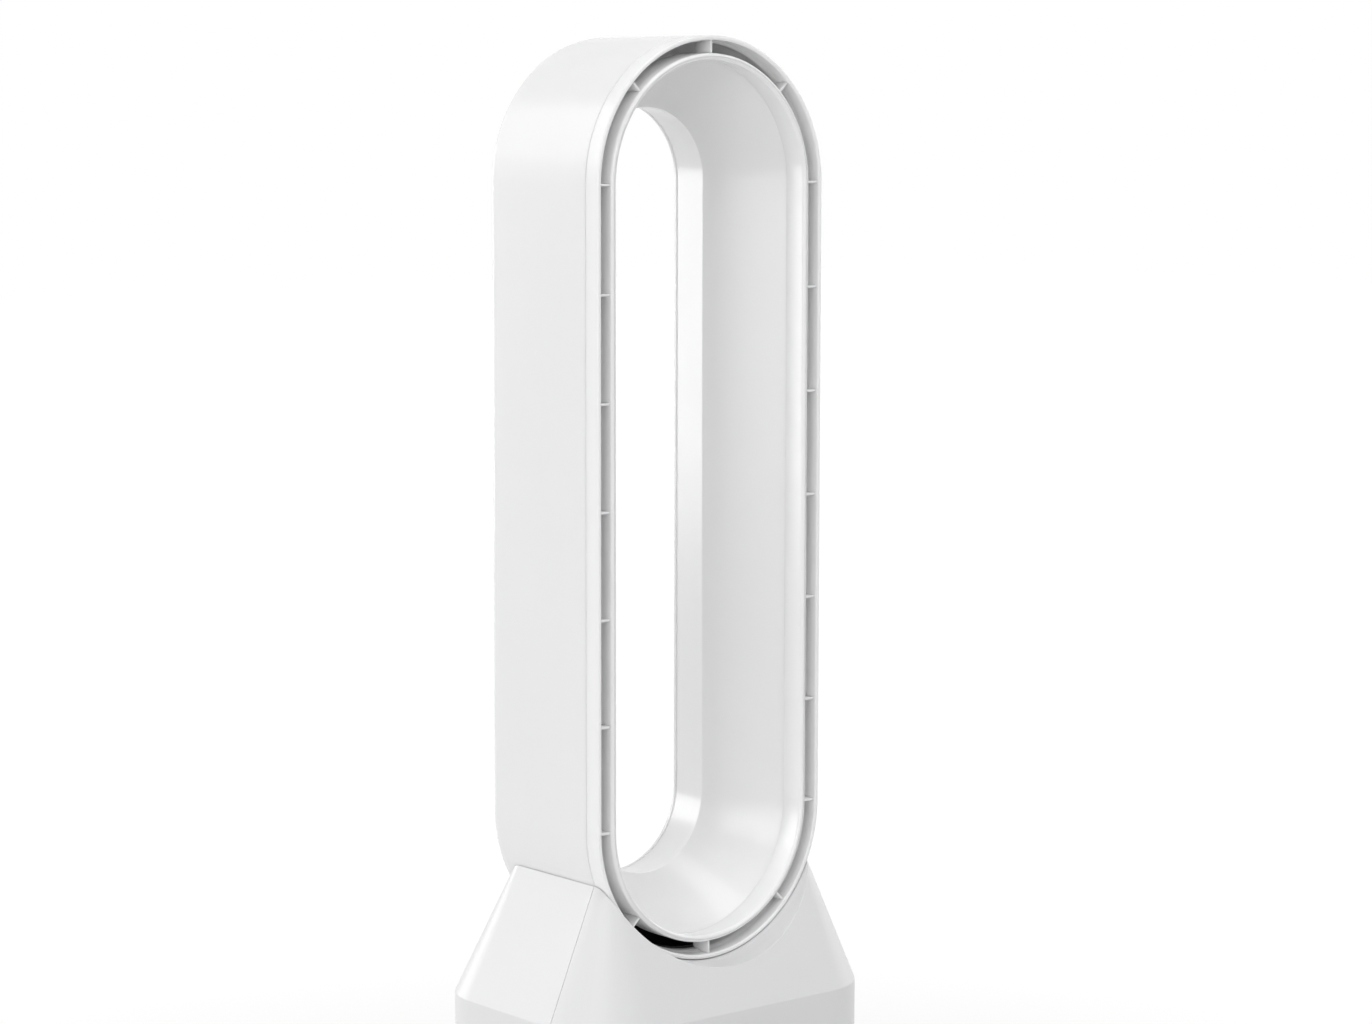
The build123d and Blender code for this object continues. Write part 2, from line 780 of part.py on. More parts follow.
def make_bottom_plate():
    """Plate that closes the foot, with round seats for the rubber feet."""
    z = rubber_foot_stand
    plate = extrude(foot_section(foot_wall + fit_gap, z), amount=bottom_plate)
    for x, y in foot_boss_places():
        plate -= disc(screw_radius + screw_play, z - 1, bottom_plate + 2, x, y)
        plate -= disc(screw_head_radius + head_play, z, screw_recess, x, y)
    for x, y in rubber_foot_places():
        plate -= disc(rubber_foot_radius + fit_gap, z, rubber_foot_height - rubber_foot_stand, x, y)
    return plate - inlet_pocket_block(foot_wall + fit_gap)


def rubber_foot_places():
    return [(sx * rubber_foot_x, sy * rubber_foot_y) for sx in (-1, 1) for sy in (-1, 1)]


def make_rubber_feet():
    group = Part()
    for x, y in rubber_foot_places():
        pad = disc(rubber_foot_radius, 0, rubber_foot_height, x, y)
        group += chamfer(pad.faces().sort_by(Axis.Z)[0].edges(), 0.8)
    return group


def make_foot_screws():
    group = Part()
    for x, y in foot_boss_places():
        group += screw(x, y, rubber_foot_stand + screw_recess, foot_screw_length)
        group -= disc(screw_head_radius + 1, -1, rubber_foot_stand + 1, x, y)
    return group


def make_ballast():
    """Steel weight that lies on the bottom plate."""
    z = rubber_foot_stand + bottom_plate
    outline = RectangleRounded(2 * ballast_half_width, 2 * ballast_half_depth, ballast_corner)
    plate = Pos(0, 0, z) * extrude(outline, amount=ballast_height)
    return plate - disc(ballast_hole, z - 1, ballast_height + 2)


def make_inlet_gland():
    """Bush where the mains lead enters the foot; the lead itself is not part of the model."""
    length = foot_wall + 4.0
    rim = 2.2
    gland = Pos(0, 0, length / 2) * Cylinder(inlet_radius, length)
    gland += Pos(0, 0, -rim / 2) * Cylinder(inlet_radius + 1.6, rim)
    gland += Pos(0, 0, -rim - 0.9) * Cone(inlet_radius, inlet_radius - 1.6, 1.8, rotation=(180, 0, 0))
    gland -= Cylinder(inlet_bore, 4 * length)
    return Pos(inlet_x, foot_half_depth - inlet_pocket, inlet_z) * Rot(90, 0, 0) * gland


def spindle_screw_place(k):
    angle = radians(90 + 120 * k)
    reach = (spindle_radius + spindle_bore) / 2
    return reach * cos(angle), reach * sin(angle)


def make_spindle():
    """Hollow post on the foot that the turntable turns on."""
    z0 = foot_top
    post = disc(spindle_radius, z0, gear_bottom - z0)
    neck = disc(spindle_neck, gear_bottom, gear_height + nut_height)
    reach = spindle_neck + 1
    flat = block(spindle_neck - spindle_flat, reach, -reach, reach, gear_bottom, gear_top)
    post = post + (neck - flat)
    post -= disc(spindle_bore, z0 - 1, 40)
    for k in range(3):
        x, y = spindle_screw_place(k)
        post -= disc(screw_radius + screw_play, z0 - 1, 6, x, y)
    return post


def make_spindle_screws():
    group = Part()
    for k in range(3):
        x, y = spindle_screw_place(k)
        group += screw(x, y, foot_top - foot_wall, spindle_screw_length)
    return group


def make_glide_pads():
    group = Part()
    for k in range(pad_count):
        angle = 2 * pi * (k + 0.5) / pad_count
        group += disc(pad_radius, foot_top, pad_height, pad_circle * cos(angle), pad_circle * sin(angle))
    return group


# ---- sweep drive --------------------------------------------------------------------------------
def involute_point(base, radius, start):
    """Point on an involute that leaves its base circle at the angle start."""
    roll = sqrt(max((radius / base) ** 2 - 1, 0))
    angle = start + roll - atan2(roll, 1)
    return radius * cos(angle), radius * sin(angle)


def tooth(teeth, middle):
    """Outline of one tooth, root to root, about the angle middle."""
    pitch = gear_module * teeth / 2
    base = pitch * cos(radians(pressure_angle))
    tip = pitch + gear_module
    root = pitch - 1.25 * gear_module
    low = max(base, root)
    roll = tan(radians(pressure_angle))
    half = pi / (2 * teeth) - backlash / (4 * pitch) + roll - radians(pressure_angle)
    radii = [low + (tip - low) * k / 3 for k in range(4)]
    right = [involute_point(base, r, middle - half) for r in radii]
    left = []
    for r in radii:
        x, y = involute_point(base, r, -half)
        left.append((x * cos(middle) + y * sin(middle), x * sin(middle) - y * cos(middle)))
    angle = half + 0.01
    foot_right = ((root - 0.2) * cos(middle - angle), (root - 0.2) * sin(middle - angle))
    foot_left = ((root - 0.2) * cos(middle + angle), (root - 0.2) * sin(middle + angle))
    return [foot_right] + right + left[::-1] + [foot_left]


def gear(teeth, middles, bottom, height, bore):
    """A spur gear with teeth at the given angles only."""
    root = gear_module * (teeth / 2 - 1.25)
    body = disc(root, bottom, height)
    for middle in middles:
        outline = make_face(Polyline(*tooth(teeth, middle), close=True))
        body += Pos(0, 0, bottom) * extrude(outline, amount=height)
    return body - disc(bore, bottom - 1, height + 2)


def make_sector_gear():
    """Fixed gear on the spindle, toothed only over the arc that the pinion rolls on."""
    step = 2 * pi / sector_teeth
    count = int(radians(sector_half_angle) / step)
    middles = [pi / 2 + (k + 0.5) * step for k in range(-count - 1, count + 1)]
    body = gear(sector_teeth, middles, gear_bottom, gear_height, spindle_neck + fit_gap)
    half = spindle_neck / 2
    key = block(spindle_neck - spindle_flat + fit_gap, spindle_neck + 2, -half, half, gear_bottom, gear_top)
    return body + key


def make_pinion():
    step = 2 * pi / pinion_teeth
    middles = [-pi / 2 + k * step for k in range(pinion_teeth)]
    body = gear(pinion_teeth, middles, gear_bottom, gear_height, 0.5)
    return Pos(0, pinion_distance, 0) * (body + disc(0.6, gear_bottom, gear_height))


def make_spindle_nut():
    """Hexagon nut on the spindle's neck that holds down the fixed gear."""
    body = Pos(0, 0, gear_top) * extrude(RegularPolygon(nut_radius, 6), amount=nut_height)
    return body - disc(spindle_neck + screw_play, gear_top - 1, nut_height + 2)


def sweep_ear_places():
    return [(sx * sweep_ear, pinion_distance) for sx in (-1, 1)]


def make_sweep_motor():
    """Flat geared motor with two ears, its shaft pointing down."""
    can = disc(sweep_motor_radius, sweep_motor_z, sweep_motor_height, 0, pinion_distance)
    can = fillet(can.faces().sort_by(Axis.Z)[-1].edges(), 2.0)
    reach = sweep_ear + sweep_ear_reach
    ears = block(-reach, reach, pinion_distance - sweep_ear_reach, pinion_distance + sweep_ear_reach,
                 sweep_motor_z, sweep_motor_z + sweep_ear_wall)
    for x, y in sweep_ear_places():
        ears -= disc(screw_radius + screw_play, sweep_motor_z - 1, 4, x, y)
    boss = disc(5.0, sweep_motor_z - 1.5, 2, 0, pinion_distance)
    bore = disc(sweep_shaft_radius + running_gap, sweep_motor_z - 3, 9, 0, pinion_distance)
    return can + ears + boss - bore


def make_sweep_shaft():
    return disc(sweep_shaft_radius, gear_top, sweep_motor_z + 5 - gear_top, 0, pinion_distance)


def make_sweep_screws():
    group = Part()
    for x, y in sweep_ear_places():
        group += screw(x, y, sweep_motor_z + sweep_ear_wall, sweep_screw_length, up=False)
    return group


def post_places():
    return [(post_circle * cos(radians(a)), post_circle * sin(radians(a))) for a in post_angles]


def make_turntable():
    """Floor of the column: it turns on the spindle and carries the covers, the blower and the drive."""
    gap = base_wall + fit_gap
    low = section(base_half_width - gap, gap - base_half_depth, base_half_depth - gap, base_corner - gap,
                  column_bottom)
    plate = extrude(low, amount=turntable_height)
    for x, y in post_places():
        plate += disc(post_radius, turntable_top - 1, post_height + 1, x, y)
        plate -= disc(screw_radius + screw_play, post_top - 16, 20, x, y)
    for x, y in sweep_ear_places():
        plate += disc(sweep_post_radius, turntable_top - 1, sweep_motor_z - turntable_top + 1, x, y)
        plate -= disc(screw_radius + screw_play, sweep_motor_z - 11, 20, x, y)
    for x, y in corner_places(cover_boss_inset):
        plate -= disc(screw_radius + screw_play, column_bottom - 1, turntable_height + 2, x, y)
        plate -= disc(screw_head_radius + head_play, column_bottom - 1, 1 + screw_head + 0.2, x, y)
    return plate - disc(spindle_radius + spindle_play, column_bottom - 1, turntable_height + 2)


def make_cover_screws():
    """Screws from below the turntable into the covers."""
    group = Part()
    for x, y in corner_places(cover_boss_inset):
        group += screw(x, y, column_bottom + screw_head + 0.2, cover_screw_length)
    return group


# ---- blower -------------------------------------------------------------------------------------
def make_mounts():
    """Soft rubber mounts between the posts and the blower."""
    group = Part()
    for x, y in post_places():
        body = ring(mount_radius, screw_radius + screw_play, post_top, mount_height, x, y)
        waist = ring(mount_radius + 1, mount_radius - 1.6, post_top + 2, mount_height - 4, x, y)
        group += body - waist
    return group


def make_mount_screws():
    group = Part()
    for x, y in post_places():
        group += screw(x, y, bellmouth_z + blower_flange, mount_screw_length, up=False)
    return group


def hub_radius(t):
    """Radius of the impeller's hub at the share t of its height."""
    return hub_inlet_radius + (hub_outlet_radius - hub_inlet_radius) * t * t * (3 - 2 * t)


def tip_radius(t):
    """Radius of the blade tips at the share t of the impeller's height."""
    return impeller_inlet_radius + (impeller_outlet_radius - impeller_inlet_radius) * t * t


def make_bellmouth():
    """Intake plate of the blower: a rounded mouth in a flange with three ears."""
    r = impeller_inlet_radius + tip_gap
    plate = disc(casing_radius + casing_wall + 2, bellmouth_z, blower_flange)
    for x, y in post_places():
        plate += disc(mount_radius + 1, bellmouth_z, blower_flange, x, y)
        web = Pos(x / 2, y / 2, bellmouth_z) * Rot(0, 0, degrees(atan2(y, x)))
        plate += web * extrude(Rectangle(post_circle, 2 * mount_radius), amount=blower_flange)
        plate -= disc(screw_radius + screw_play, bellmouth_z - 1, blower_flange + 2, x, y)
    plate -= disc(r, bellmouth_z - 1, blower_flange + 2)
    mouth = [(r, bellmouth_z + blower_flange), (r + bellmouth_radius, bellmouth_z + blower_flange),
             (r + bellmouth_radius, bellmouth_z - 5), (r + 5.5, bellmouth_z - 5), (r + 1.6, bellmouth_z - 3)]
    return plate + revolved(mouth)


def casing_points(wall, bottom, top):
    """One face of the casing, wall outside the running gap of the blade tips, from bottom to top."""
    points = [(impeller_inlet_radius + tip_gap + wall, bottom)]
    for k in range(blade_steps + 1):
        t = k / blade_steps
        points.append((tip_radius(t) + tip_gap + wall, blade_level(t)))
    return points + [(casing_radius + wall, top)]


def make_blower_casing():
    """Shroud that follows the tips of the blades, with a flange at each end."""
    bottom = bellmouth_z + blower_flange
    inner = casing_points(0, bottom, diffuser_z)
    outer = casing_points(casing_wall, bottom, diffuser_z)
    casing = revolved(inner + outer[::-1])
    low = ring(casing_radius + casing_wall + 2, impeller_inlet_radius + tip_gap + 1, bottom, 3)
    high = ring(casing_radius + casing_wall + 4, casing_radius + 1, diffuser_z - 3, 3)
    return casing + low + high


def blade_level(t):
    """Height of a blade's strip at the share t of its rise."""
    return impeller_z + blade_margin + (impeller_height - 2 * blade_margin) * t


def level_strip(inner, outer, width, turn, z):
    """A level rectangle that reaches along a radius from inner to outer."""
    strip = Pos((inner + outer) / 2, 0, 0) * Rectangle(outer - inner, width)
    return Pos(0, 0, z) * Rot(0, 0, turn) * strip


def blade(turn):
    """A twisted blade, lofted through level strips from the inlet up to the outlet."""
    strips = []
    for k in range(blade_steps + 1):
        t = k / blade_steps
        angle = turn + blade_sweep * (1 - t) ** 1.6
        width = blade_wall + blade_thickening * (1 - t)
        strips.append(level_strip(hub_radius(t) - blade_root, tip_radius(t), width, angle, blade_level(t)))
    return loft(strips, ruled=True)


def make_impeller():
    """Mixed-flow impeller: a flared hub with twisted blades and a bored boss."""
    low = impeller_z
    top = impeller_top
    inner = hub_outlet_radius - hub_wall
    web = impeller_z + impeller_height * hub_web
    boss = shaft_radius + 6
    with BuildLine() as line:
        Line((shaft_radius, low), (hub_inlet_radius, low))
        Spline((hub_inlet_radius, low), (hub_outlet_radius, top), tangents=((0, 1), (0, 1)))
        Line((hub_outlet_radius, top), (inner, top))
        Line((inner, top), (inner - 11, web + 2))
        Line((inner - 11, web + 2), (boss, web))
        Line((boss, web), (boss, top))
        Line((boss, top), (shaft_radius, top))
        Line((shaft_radius, top), (shaft_radius, low))
    body = revolve(make_face(Plane.XZ * line.line), axis=Axis.Z)
    for k in range(blade_count):
        body += blade(360 / blade_count * k)
    return body


def make_shaft():
    bottom = impeller_z - shaft_stub
    return disc(shaft_radius, bottom, motor_top + motor_lid_wall + 1 - bottom)


def make_rotor():
    """Magnet rotor on the motor shaft."""
    return ring(rotor_radius, shaft_radius, rotor_z, rotor_height)


def make_stator():
    """Laminated stator: a yoke with inward teeth and their coils."""
    z = rotor_z + (rotor_height - stator_height) / 2
    inner = rotor_radius + air_gap
    body = ring(stator_radius, stator_radius - stator_yoke, z, stator_height)
    for k in range(stator_teeth):
        turn = Rot(0, 0, 360 / stator_teeth * k)
        pole = block(inner + 1.5, stator_radius - 3, -pole_width / 2, pole_width / 2, z, z + stator_height)
        wedge = block(0, stator_radius, -shoe_width / 2, shoe_width / 2, z, z + stator_height)
        shoe = ring(inner + shoe_wall, inner, z, stator_height) & (turn * wedge)
        body += turn * pole + shoe
    return body


def make_coils():
    """One winding round each stator tooth."""
    z = rotor_z + (rotor_height - stator_height) / 2
    x0 = rotor_radius + air_gap + shoe_wall + 0.4
    x1 = stator_radius - stator_yoke - 0.9
    hole = pole_width / 2 + 0.05
    group = Part()
    for k in range(stator_teeth):
        turn = Rot(0, 0, 360 / stator_teeth * k)
        half = hole + coil_wall
        coil = block(x0, x1, -half, half, z - coil_wall, z + stator_height + coil_wall)
        coil -= block(x0 - 1, x1 + 1, -hole, hole, z - 0.05, z + stator_height + 0.05)
        group += turn * coil
    return group


def make_bush(bottom):
    """Sintered bush that the motor shaft runs in."""
    body = ring(bush_radius, shaft_radius + running_gap, bottom, bush_height)
    return chamfer(body.faces().sort_by(Axis.Z)[-1].edges(), 0.5)


def make_motor_housing():
    """Cup that holds the stator and the lower bush; it plugs into the diffuser's hub."""
    r = stator_radius + bush_play
    z = diffuser_z
    cup = disc(motor_radius, z, motor_height) - disc(r, z + motor_wall + 2, motor_height)
    cup -= disc(bush_radius + bush_play, z + motor_wall, motor_height)
    return cup - disc(shaft_radius + 2, z - 1, motor_wall + 2)


def make_motor_lid():
    """Upper end shield with the seat of the upper bush."""
    lid = disc(motor_radius, motor_top, motor_lid_wall)
    lid += disc(bush_radius + 2.5, upper_bush_z, bush_height + 1.5)
    lid -= disc(bush_radius + bush_play, upper_bush_z - 1, bush_height + 1)
    return lid - disc(shaft_radius + 0.6, upper_bush_z - 1, bush_height + 5)


def vane(turn):
    """A curved guide vane between the diffuser's hub and its casing."""
    strips = []
    steps = 3
    for k in range(steps + 1):
        t = k / steps
        z = diffuser_z + 3 + (diffuser_height - 8) * t
        angle = turn - vane_sweep * (1 - t) ** 2
        strips.append(level_strip(hub_outlet_radius - 1, casing_radius + 1, vane_wall, angle, z))
    return loft(strips, ruled=True)


def make_diffuser():
    """Guide-vane ring above the impeller, with the motor's seat in its hub."""
    body = ring(casing_radius + casing_wall, casing_radius, diffuser_z, diffuser_height)
    body += ring(casing_radius + casing_wall + 4, casing_radius + 1, diffuser_z, 3)
    body += ring(hub_outlet_radius, motor_radius + 0.1, diffuser_z, motor_height + 4)
    cap = [(0, motor_top + 9), (motor_radius + 0.1, motor_top + 4), (hub_outlet_radius, motor_top + 4),
           (hub_outlet_radius - 14, motor_top + 11), (0, motor_top + 13)]
    body += revolved(cap)
    for k in range(vane_count):
        body += vane(360 / vane_count * k)
    return body


def make_gasket():
    """Foam ring between the diffuser and the neck duct."""
    return ring(casing_radius + casing_wall + 1, casing_radius - 2, diffuser_top, gasket_height)


def make_neck_duct():
    """Tapered duct from the round diffuser up to the collar of the loop."""
    z0 = neck_duct_z
    z1 = collar_z
    low_r = casing_radius
    high_r = neck_radius - collar_wall
    low_end = Pos(0, 0, z0)
    high_end = Pos(0, neck_offset, z1)
    duct = loft([low_end * Circle(low_r + casing_wall), high_end * Circle(high_r + casing_wall)])
    duct -= loft([low_end * Circle(low_r), high_end * Circle(high_r)])
    duct += ring(low_r + casing_wall + 4, low_r + 0.5, z0, 3)
    duct += ring(high_r + casing_wall + 6, high_r + 0.5, z1 - 3, 3, 0, neck_offset)
    return duct


# ---- power board --------------------------------------------------------------------------------
def make_power_board():
    z = turntable_top + power_board_lift
    x = power_board_x
    y = power_board_y
    half = power_board_length / 2
    wide = power_board_width / 2
    board = block(x - wide, x + wide, y - half, y + half, z, z + board_wall)
    for foot_y in (y - half + power_foot_inset, y + half - power_foot_inset):
        board += disc(power_foot_radius, turntable_top, power_board_lift, x, foot_y)
    return board


def make_power_parts():
    """Transformer, capacitor, relay and terminal block on the power board."""
    z = turntable_top + power_board_lift + board_wall
    x = power_board_x
    y = power_board_y
    gap = 6.0
    west = x - power_board_width / 2 + gap / 2
    south = y - power_board_length / 2 + gap
    group = block(west, west + transformer_size, south, south + transformer_size, z, z + transformer_height)
    row = south + transformer_size + gap
    group += disc(capacitor_radius, z, capacitor_height, west + capacitor_radius, row + capacitor_radius)
    east = west + 2 * capacitor_radius + gap / 2
    group += block(east, east + relay_width, row, row + relay_length, z, z + relay_height)
    row += 2 * capacitor_radius + gap / 2
    group += block(west, west + terminal_width, row, row + terminal_size, z, z + terminal_size)
    return group


# ---- build --------------------------------------------------------------------------------------
put(make_outer_shell(), "loop_outer_shell")
put(make_bezel(), "loop_front_bezel")
put(make_ribs(rib_edge), "slot_ribs")
put(make_inner_duct(), "loop_inner_duct")
put(make_neck_collar(), "neck_collar")
put(make_loop_screws(), "loop_screws")

base_shell = make_base_shell()
put(make_front_cover(base_shell), "base_front_cover")
put(make_rear_cover(base_shell), "base_rear_cover")
put(make_cover_screws(), "cover_screws")

put(make_side_grille(-1), "grille_left")
put(make_side_grille(1), "grille_right")
put(make_rear_grille(), "grille_rear")

button_names = ["button_power", "button_slower", "button_faster", "button_sweep", "button_timer"]
for name, x in zip(button_names, button_places()):
    put(make_button(x), name)
put(make_window(), "display_window")
put(make_digit_display(), "digit_display")
put(make_receiver(), "remote_receiver")
put(make_control_board(), "control_board")
put(make_switches(), "push_switches")
put(make_board_screws(), "board_screws")

put(make_foot_shell(), "foot_shell")
put(make_bottom_plate(), "foot_bottom_plate")
put(make_rubber_feet(), "rubber_feet")
put(make_foot_screws(), "foot_screws")
put(make_ballast(), "ballast_plate")
put(make_inlet_gland(), "mains_inlet_gland")
put(make_spindle(), "spindle_post")
put(make_spindle_screws(), "spindle_screws")
put(make_glide_pads(), "glide_pads")
put(make_sector_gear(), "sector_gear")
put(make_spindle_nut(), "spindle_nut")

put(make_turntable(), "turntable_plate")
put(make_sweep_motor(), "sweep_motor")
put(make_sweep_shaft(), "sweep_shaft")
put(make_pinion(), "sweep_pinion")
put(make_sweep_screws(), "sweep_motor_screws")
put(make_power_board(), "power_board")
put(make_power_parts(), "power_parts")

put(make_mounts(), "blower_mounts")
put(make_mount_screws(), "blower_mount_screws")
put(make_bellmouth(), "intake_bellmouth")
put(make_blower_casing(), "blower_casing")
put(make_impeller(), "impeller")
put(make_shaft(), "motor_shaft")
put(make_rotor(), "motor_rotor")
put(make_stator(), "motor_stator")
put(make_coils(), "motor_coils")
put(make_bush(diffuser_z + motor_wall), "lower_bearing_bush")
put(make_bush(upper_bush_z), "upper_bearing_bush")
put(make_motor_housing(), "motor_housing")
put(make_motor_lid(), "motor_lid")
put(make_diffuser(), "diffuser")
put(make_gasket(), "neck_gasket")
put(make_neck_duct(), "neck_duct")
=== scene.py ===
from math import atan, cos, pi, radians, sin, sqrt, tan

import bmesh
import bpy
from mathutils import Matrix, Vector


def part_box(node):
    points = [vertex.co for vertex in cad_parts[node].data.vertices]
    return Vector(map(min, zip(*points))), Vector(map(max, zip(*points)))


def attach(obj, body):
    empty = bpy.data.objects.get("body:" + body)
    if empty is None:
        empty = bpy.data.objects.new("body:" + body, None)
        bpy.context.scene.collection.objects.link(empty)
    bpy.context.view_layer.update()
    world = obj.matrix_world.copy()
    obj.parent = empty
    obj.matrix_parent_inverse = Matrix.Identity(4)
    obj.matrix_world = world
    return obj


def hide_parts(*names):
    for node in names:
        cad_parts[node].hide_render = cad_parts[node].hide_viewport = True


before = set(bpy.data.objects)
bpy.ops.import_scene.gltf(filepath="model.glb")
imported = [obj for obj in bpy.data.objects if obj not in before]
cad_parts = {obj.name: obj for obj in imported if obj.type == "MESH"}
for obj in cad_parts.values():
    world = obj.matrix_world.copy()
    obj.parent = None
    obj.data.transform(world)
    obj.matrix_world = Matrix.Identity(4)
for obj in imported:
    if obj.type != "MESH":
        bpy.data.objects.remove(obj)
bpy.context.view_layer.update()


# ---- Rubber feet and bottom plate ----------------------------------------------------------------
# Four black rubber pads are pressed into round seats of a black glass-filled plate. The plate
# closes the foot from below and is held by six zinc-plated screws. A painted steel weight lies
# on it.
class Field:
    """One output of a node. Python's operators on it add Math nodes."""

    def __init__(self, nodes, socket):
        self.nodes = nodes
        self.socket = socket

    def math(self, operation, first, second):
        sockets = {0: first, 1: second}
        return self.nodes.node("ShaderNodeMath", {"operation": operation}, sockets)

    def __add__(self, other):
        return self.math("ADD", self, other)

    def __sub__(self, other):
        return self.math("SUBTRACT", self, other)

    def __mul__(self, other):
        return self.math("MULTIPLY", self, other)

    def __rsub__(self, other):
        return self.math("SUBTRACT", other, self)

    def __gt__(self, other):
        return self.math("GREATER_THAN", self, other)

    __radd__ = __add__
    __rmul__ = __mul__


class Nodes:
    """A node tree that is built up one node at a time."""

    def __init__(self, tree):
        self.tree = tree

    def plug(self, value, socket):
        """Links a field to the socket, or sets the socket to a plain value."""
        if isinstance(value, Field):
            self.tree.links.new(value.socket, socket)
        else:
            socket.default_value = value

    def node(self, kind, settings=None, sockets=None, output=0):
        """Adds one node: first its settings, then the values or links of its sockets."""
        node = self.tree.nodes.new(kind)
        for name, value in (settings or {}).items():
            setattr(node, name, value)
        for name, value in (sockets or {}).items():
            self.plug(value, node.inputs[name])
        return Field(self, node.outputs[output])


class Finish(Nodes):
    """One surface finish: a material with a Principled shader and the nodes that feed it."""

    def __init__(self, name, colour, roughness, **constants):
        self.material = bpy.data.materials.new(name)
        self.material.use_nodes = True
        super().__init__(self.material.node_tree)
        self.shader = self.tree.nodes["Principled BSDF"]
        self.feed("Base Color", (*colour, 1.0))
        self.feed("Roughness", roughness)
        for socket, value in constants.items():
            self.feed(socket.replace("_", " "), value)

    def feed(self, socket, value):
        self.plug(value, self.shader.inputs[socket])

    def place(self):
        """The point on the piece, in metres."""
        return self.node("ShaderNodeTexCoord", output="Object")

    def stretched(self, scale):
        """The point, scaled along each axis, which makes streaks and bands."""
        return self.node("ShaderNodeMapping", {}, {"Vector": self.place(), "Scale": scale})

    def noise(self, size, detail=2.0, place=None):
        """Soft random patches about size metres across, from 0 to 1."""
        sockets = {"Vector": place or self.place(), "Scale": 1 / size, "Detail": detail}
        return self.node("ShaderNodeTexNoise", {}, sockets)

    def between(self, share, low, high):
        """A colour from low to high. A Mix node's colours are inputs 6 and 7, and output 2."""
        sockets = {0: share, 6: (*low, 1.0), 7: (*high, 1.0)}
        return self.node("ShaderNodeMix", {"data_type": "RGBA"}, sockets, output=2)

    def relief(self, height, depth):
        """Turns a height from 0 to 1 into a relief of that depth in metres."""
        return self.node("ShaderNodeBump", {}, {"Height": height, "Distance": depth})


def shade(colour, share):
    return tuple(channel * share for channel in colour)


def moulded(name, colour, roughness, grain=0.0009, depth=0.000002, **constants):
    """Injection-moulded plastic: an even colour, faint flow marks in its gloss, and fine grain."""
    cloud_size = 0.11
    flow_size = 0.02
    gloss_swing = 0.08
    darkest, lightest = shade(colour, 0.985), shade(colour, 1.01)
    finish = Finish(name, colour, roughness, **constants)
    cloud = finish.noise(cloud_size)
    flow = finish.noise(flow_size, detail=4.0)
    finish.feed("Base Color", finish.between(cloud, darkest, lightest))
    finish.feed("Roughness", roughness - gloss_swing / 2 + gloss_swing * flow)
    finish.feed("Normal", finish.relief(finish.noise(grain, detail=1.0), depth))
    return finish


def steel(name, colour, roughness, streak=(900.0, 900.0, 60.0)):
    """Bare or plated steel with the fine streaks of drawing and turning."""
    stain_size = 0.006
    streak_depth = 0.000004
    smoothest = roughness - 0.06
    gloss_swing = 0.14
    stained, clean = shade(colour, 0.9), shade(colour, 1.05)
    finish = Finish(name, colour, roughness, Metallic=1.0)
    lines = finish.noise(1.0, detail=3.0, place=finish.stretched(streak))
    stain = finish.noise(stain_size)
    finish.feed("Base Color", finish.between(stain, stained, clean))
    finish.feed("Roughness", smoothest + gloss_swing * lines)
    finish.feed("Normal", finish.relief(lines, streak_depth))
    return finish


def dress(finish, *names):
    """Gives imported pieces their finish."""
    for name in names:
        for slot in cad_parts[name].material_slots:
            slot.material = finish.material


black = (0.018, 0.018, 0.019)
rubber = moulded("black_rubber", black, 0.72, grain=0.0006, depth=0.00002)
dress(rubber, "rubber_feet", "blower_mounts")
plate_black = (0.03, 0.03, 0.032)
glass_filled = moulded("black_glass_filled", plate_black, 0.55, grain=0.0004, depth=0.00001)
dress(glass_filled, "foot_bottom_plate", "turntable_plate")
zinc = steel("zinc_plated_steel", (0.62, 0.62, 0.60), 0.34)
dress(zinc, "foot_screws", "spindle_screws", "cover_screws", "loop_screws", "board_screws")
dress(zinc, "sweep_motor_screws", "blower_mount_screws")
paint_black = (0.02, 0.02, 0.021)
painted_steel = moulded("black_painted_steel", paint_black, 0.42, grain=0.0015, depth=0.00003)
dress(painted_steel, "ballast_plate")


# ---- Foot shell ----------------------------------------------------------------------------------
# The flat white foot is moulded in the same satin plastic as the base. A pocket at its back holds
# the black bush that the mains lead goes through.
base_white = (0.79, 0.79, 0.795)
satin_white = moulded("satin_white_plastic", base_white, 0.38, grain=0.0012, depth=0.0000015)
dress(satin_white, "foot_shell")
soft_black = moulded("soft_black_plastic", (0.022, 0.022, 0.023), 0.5)
dress(soft_black, "mains_inlet_gland")


# ---- Spindle and sweep drive ---------------------------------------------------------------------
# A natural acetal spindle stands on the foot. The turntable turns round it on six acetal pads, and
# a steel pinion shaft rolls an acetal pinion on the fixed toothed sector.
acetal = moulded("natural_acetal", (0.78, 0.77, 0.72), 0.42, Subsurface_Weight=0.08)
dress(acetal, "spindle_post", "glide_pads", "sector_gear", "sweep_pinion")
turned_steel = steel("turned_steel", (0.66, 0.66, 0.66), 0.18)
dress(turned_steel, "sweep_shaft", "spindle_nut", "motor_shaft")
pressed_steel = steel("pressed_steel", (0.55, 0.55, 0.55), 0.36, streak=(300.0, 300.0, 20.0))
dress(pressed_steel, "sweep_motor", "motor_housing", "motor_lid")


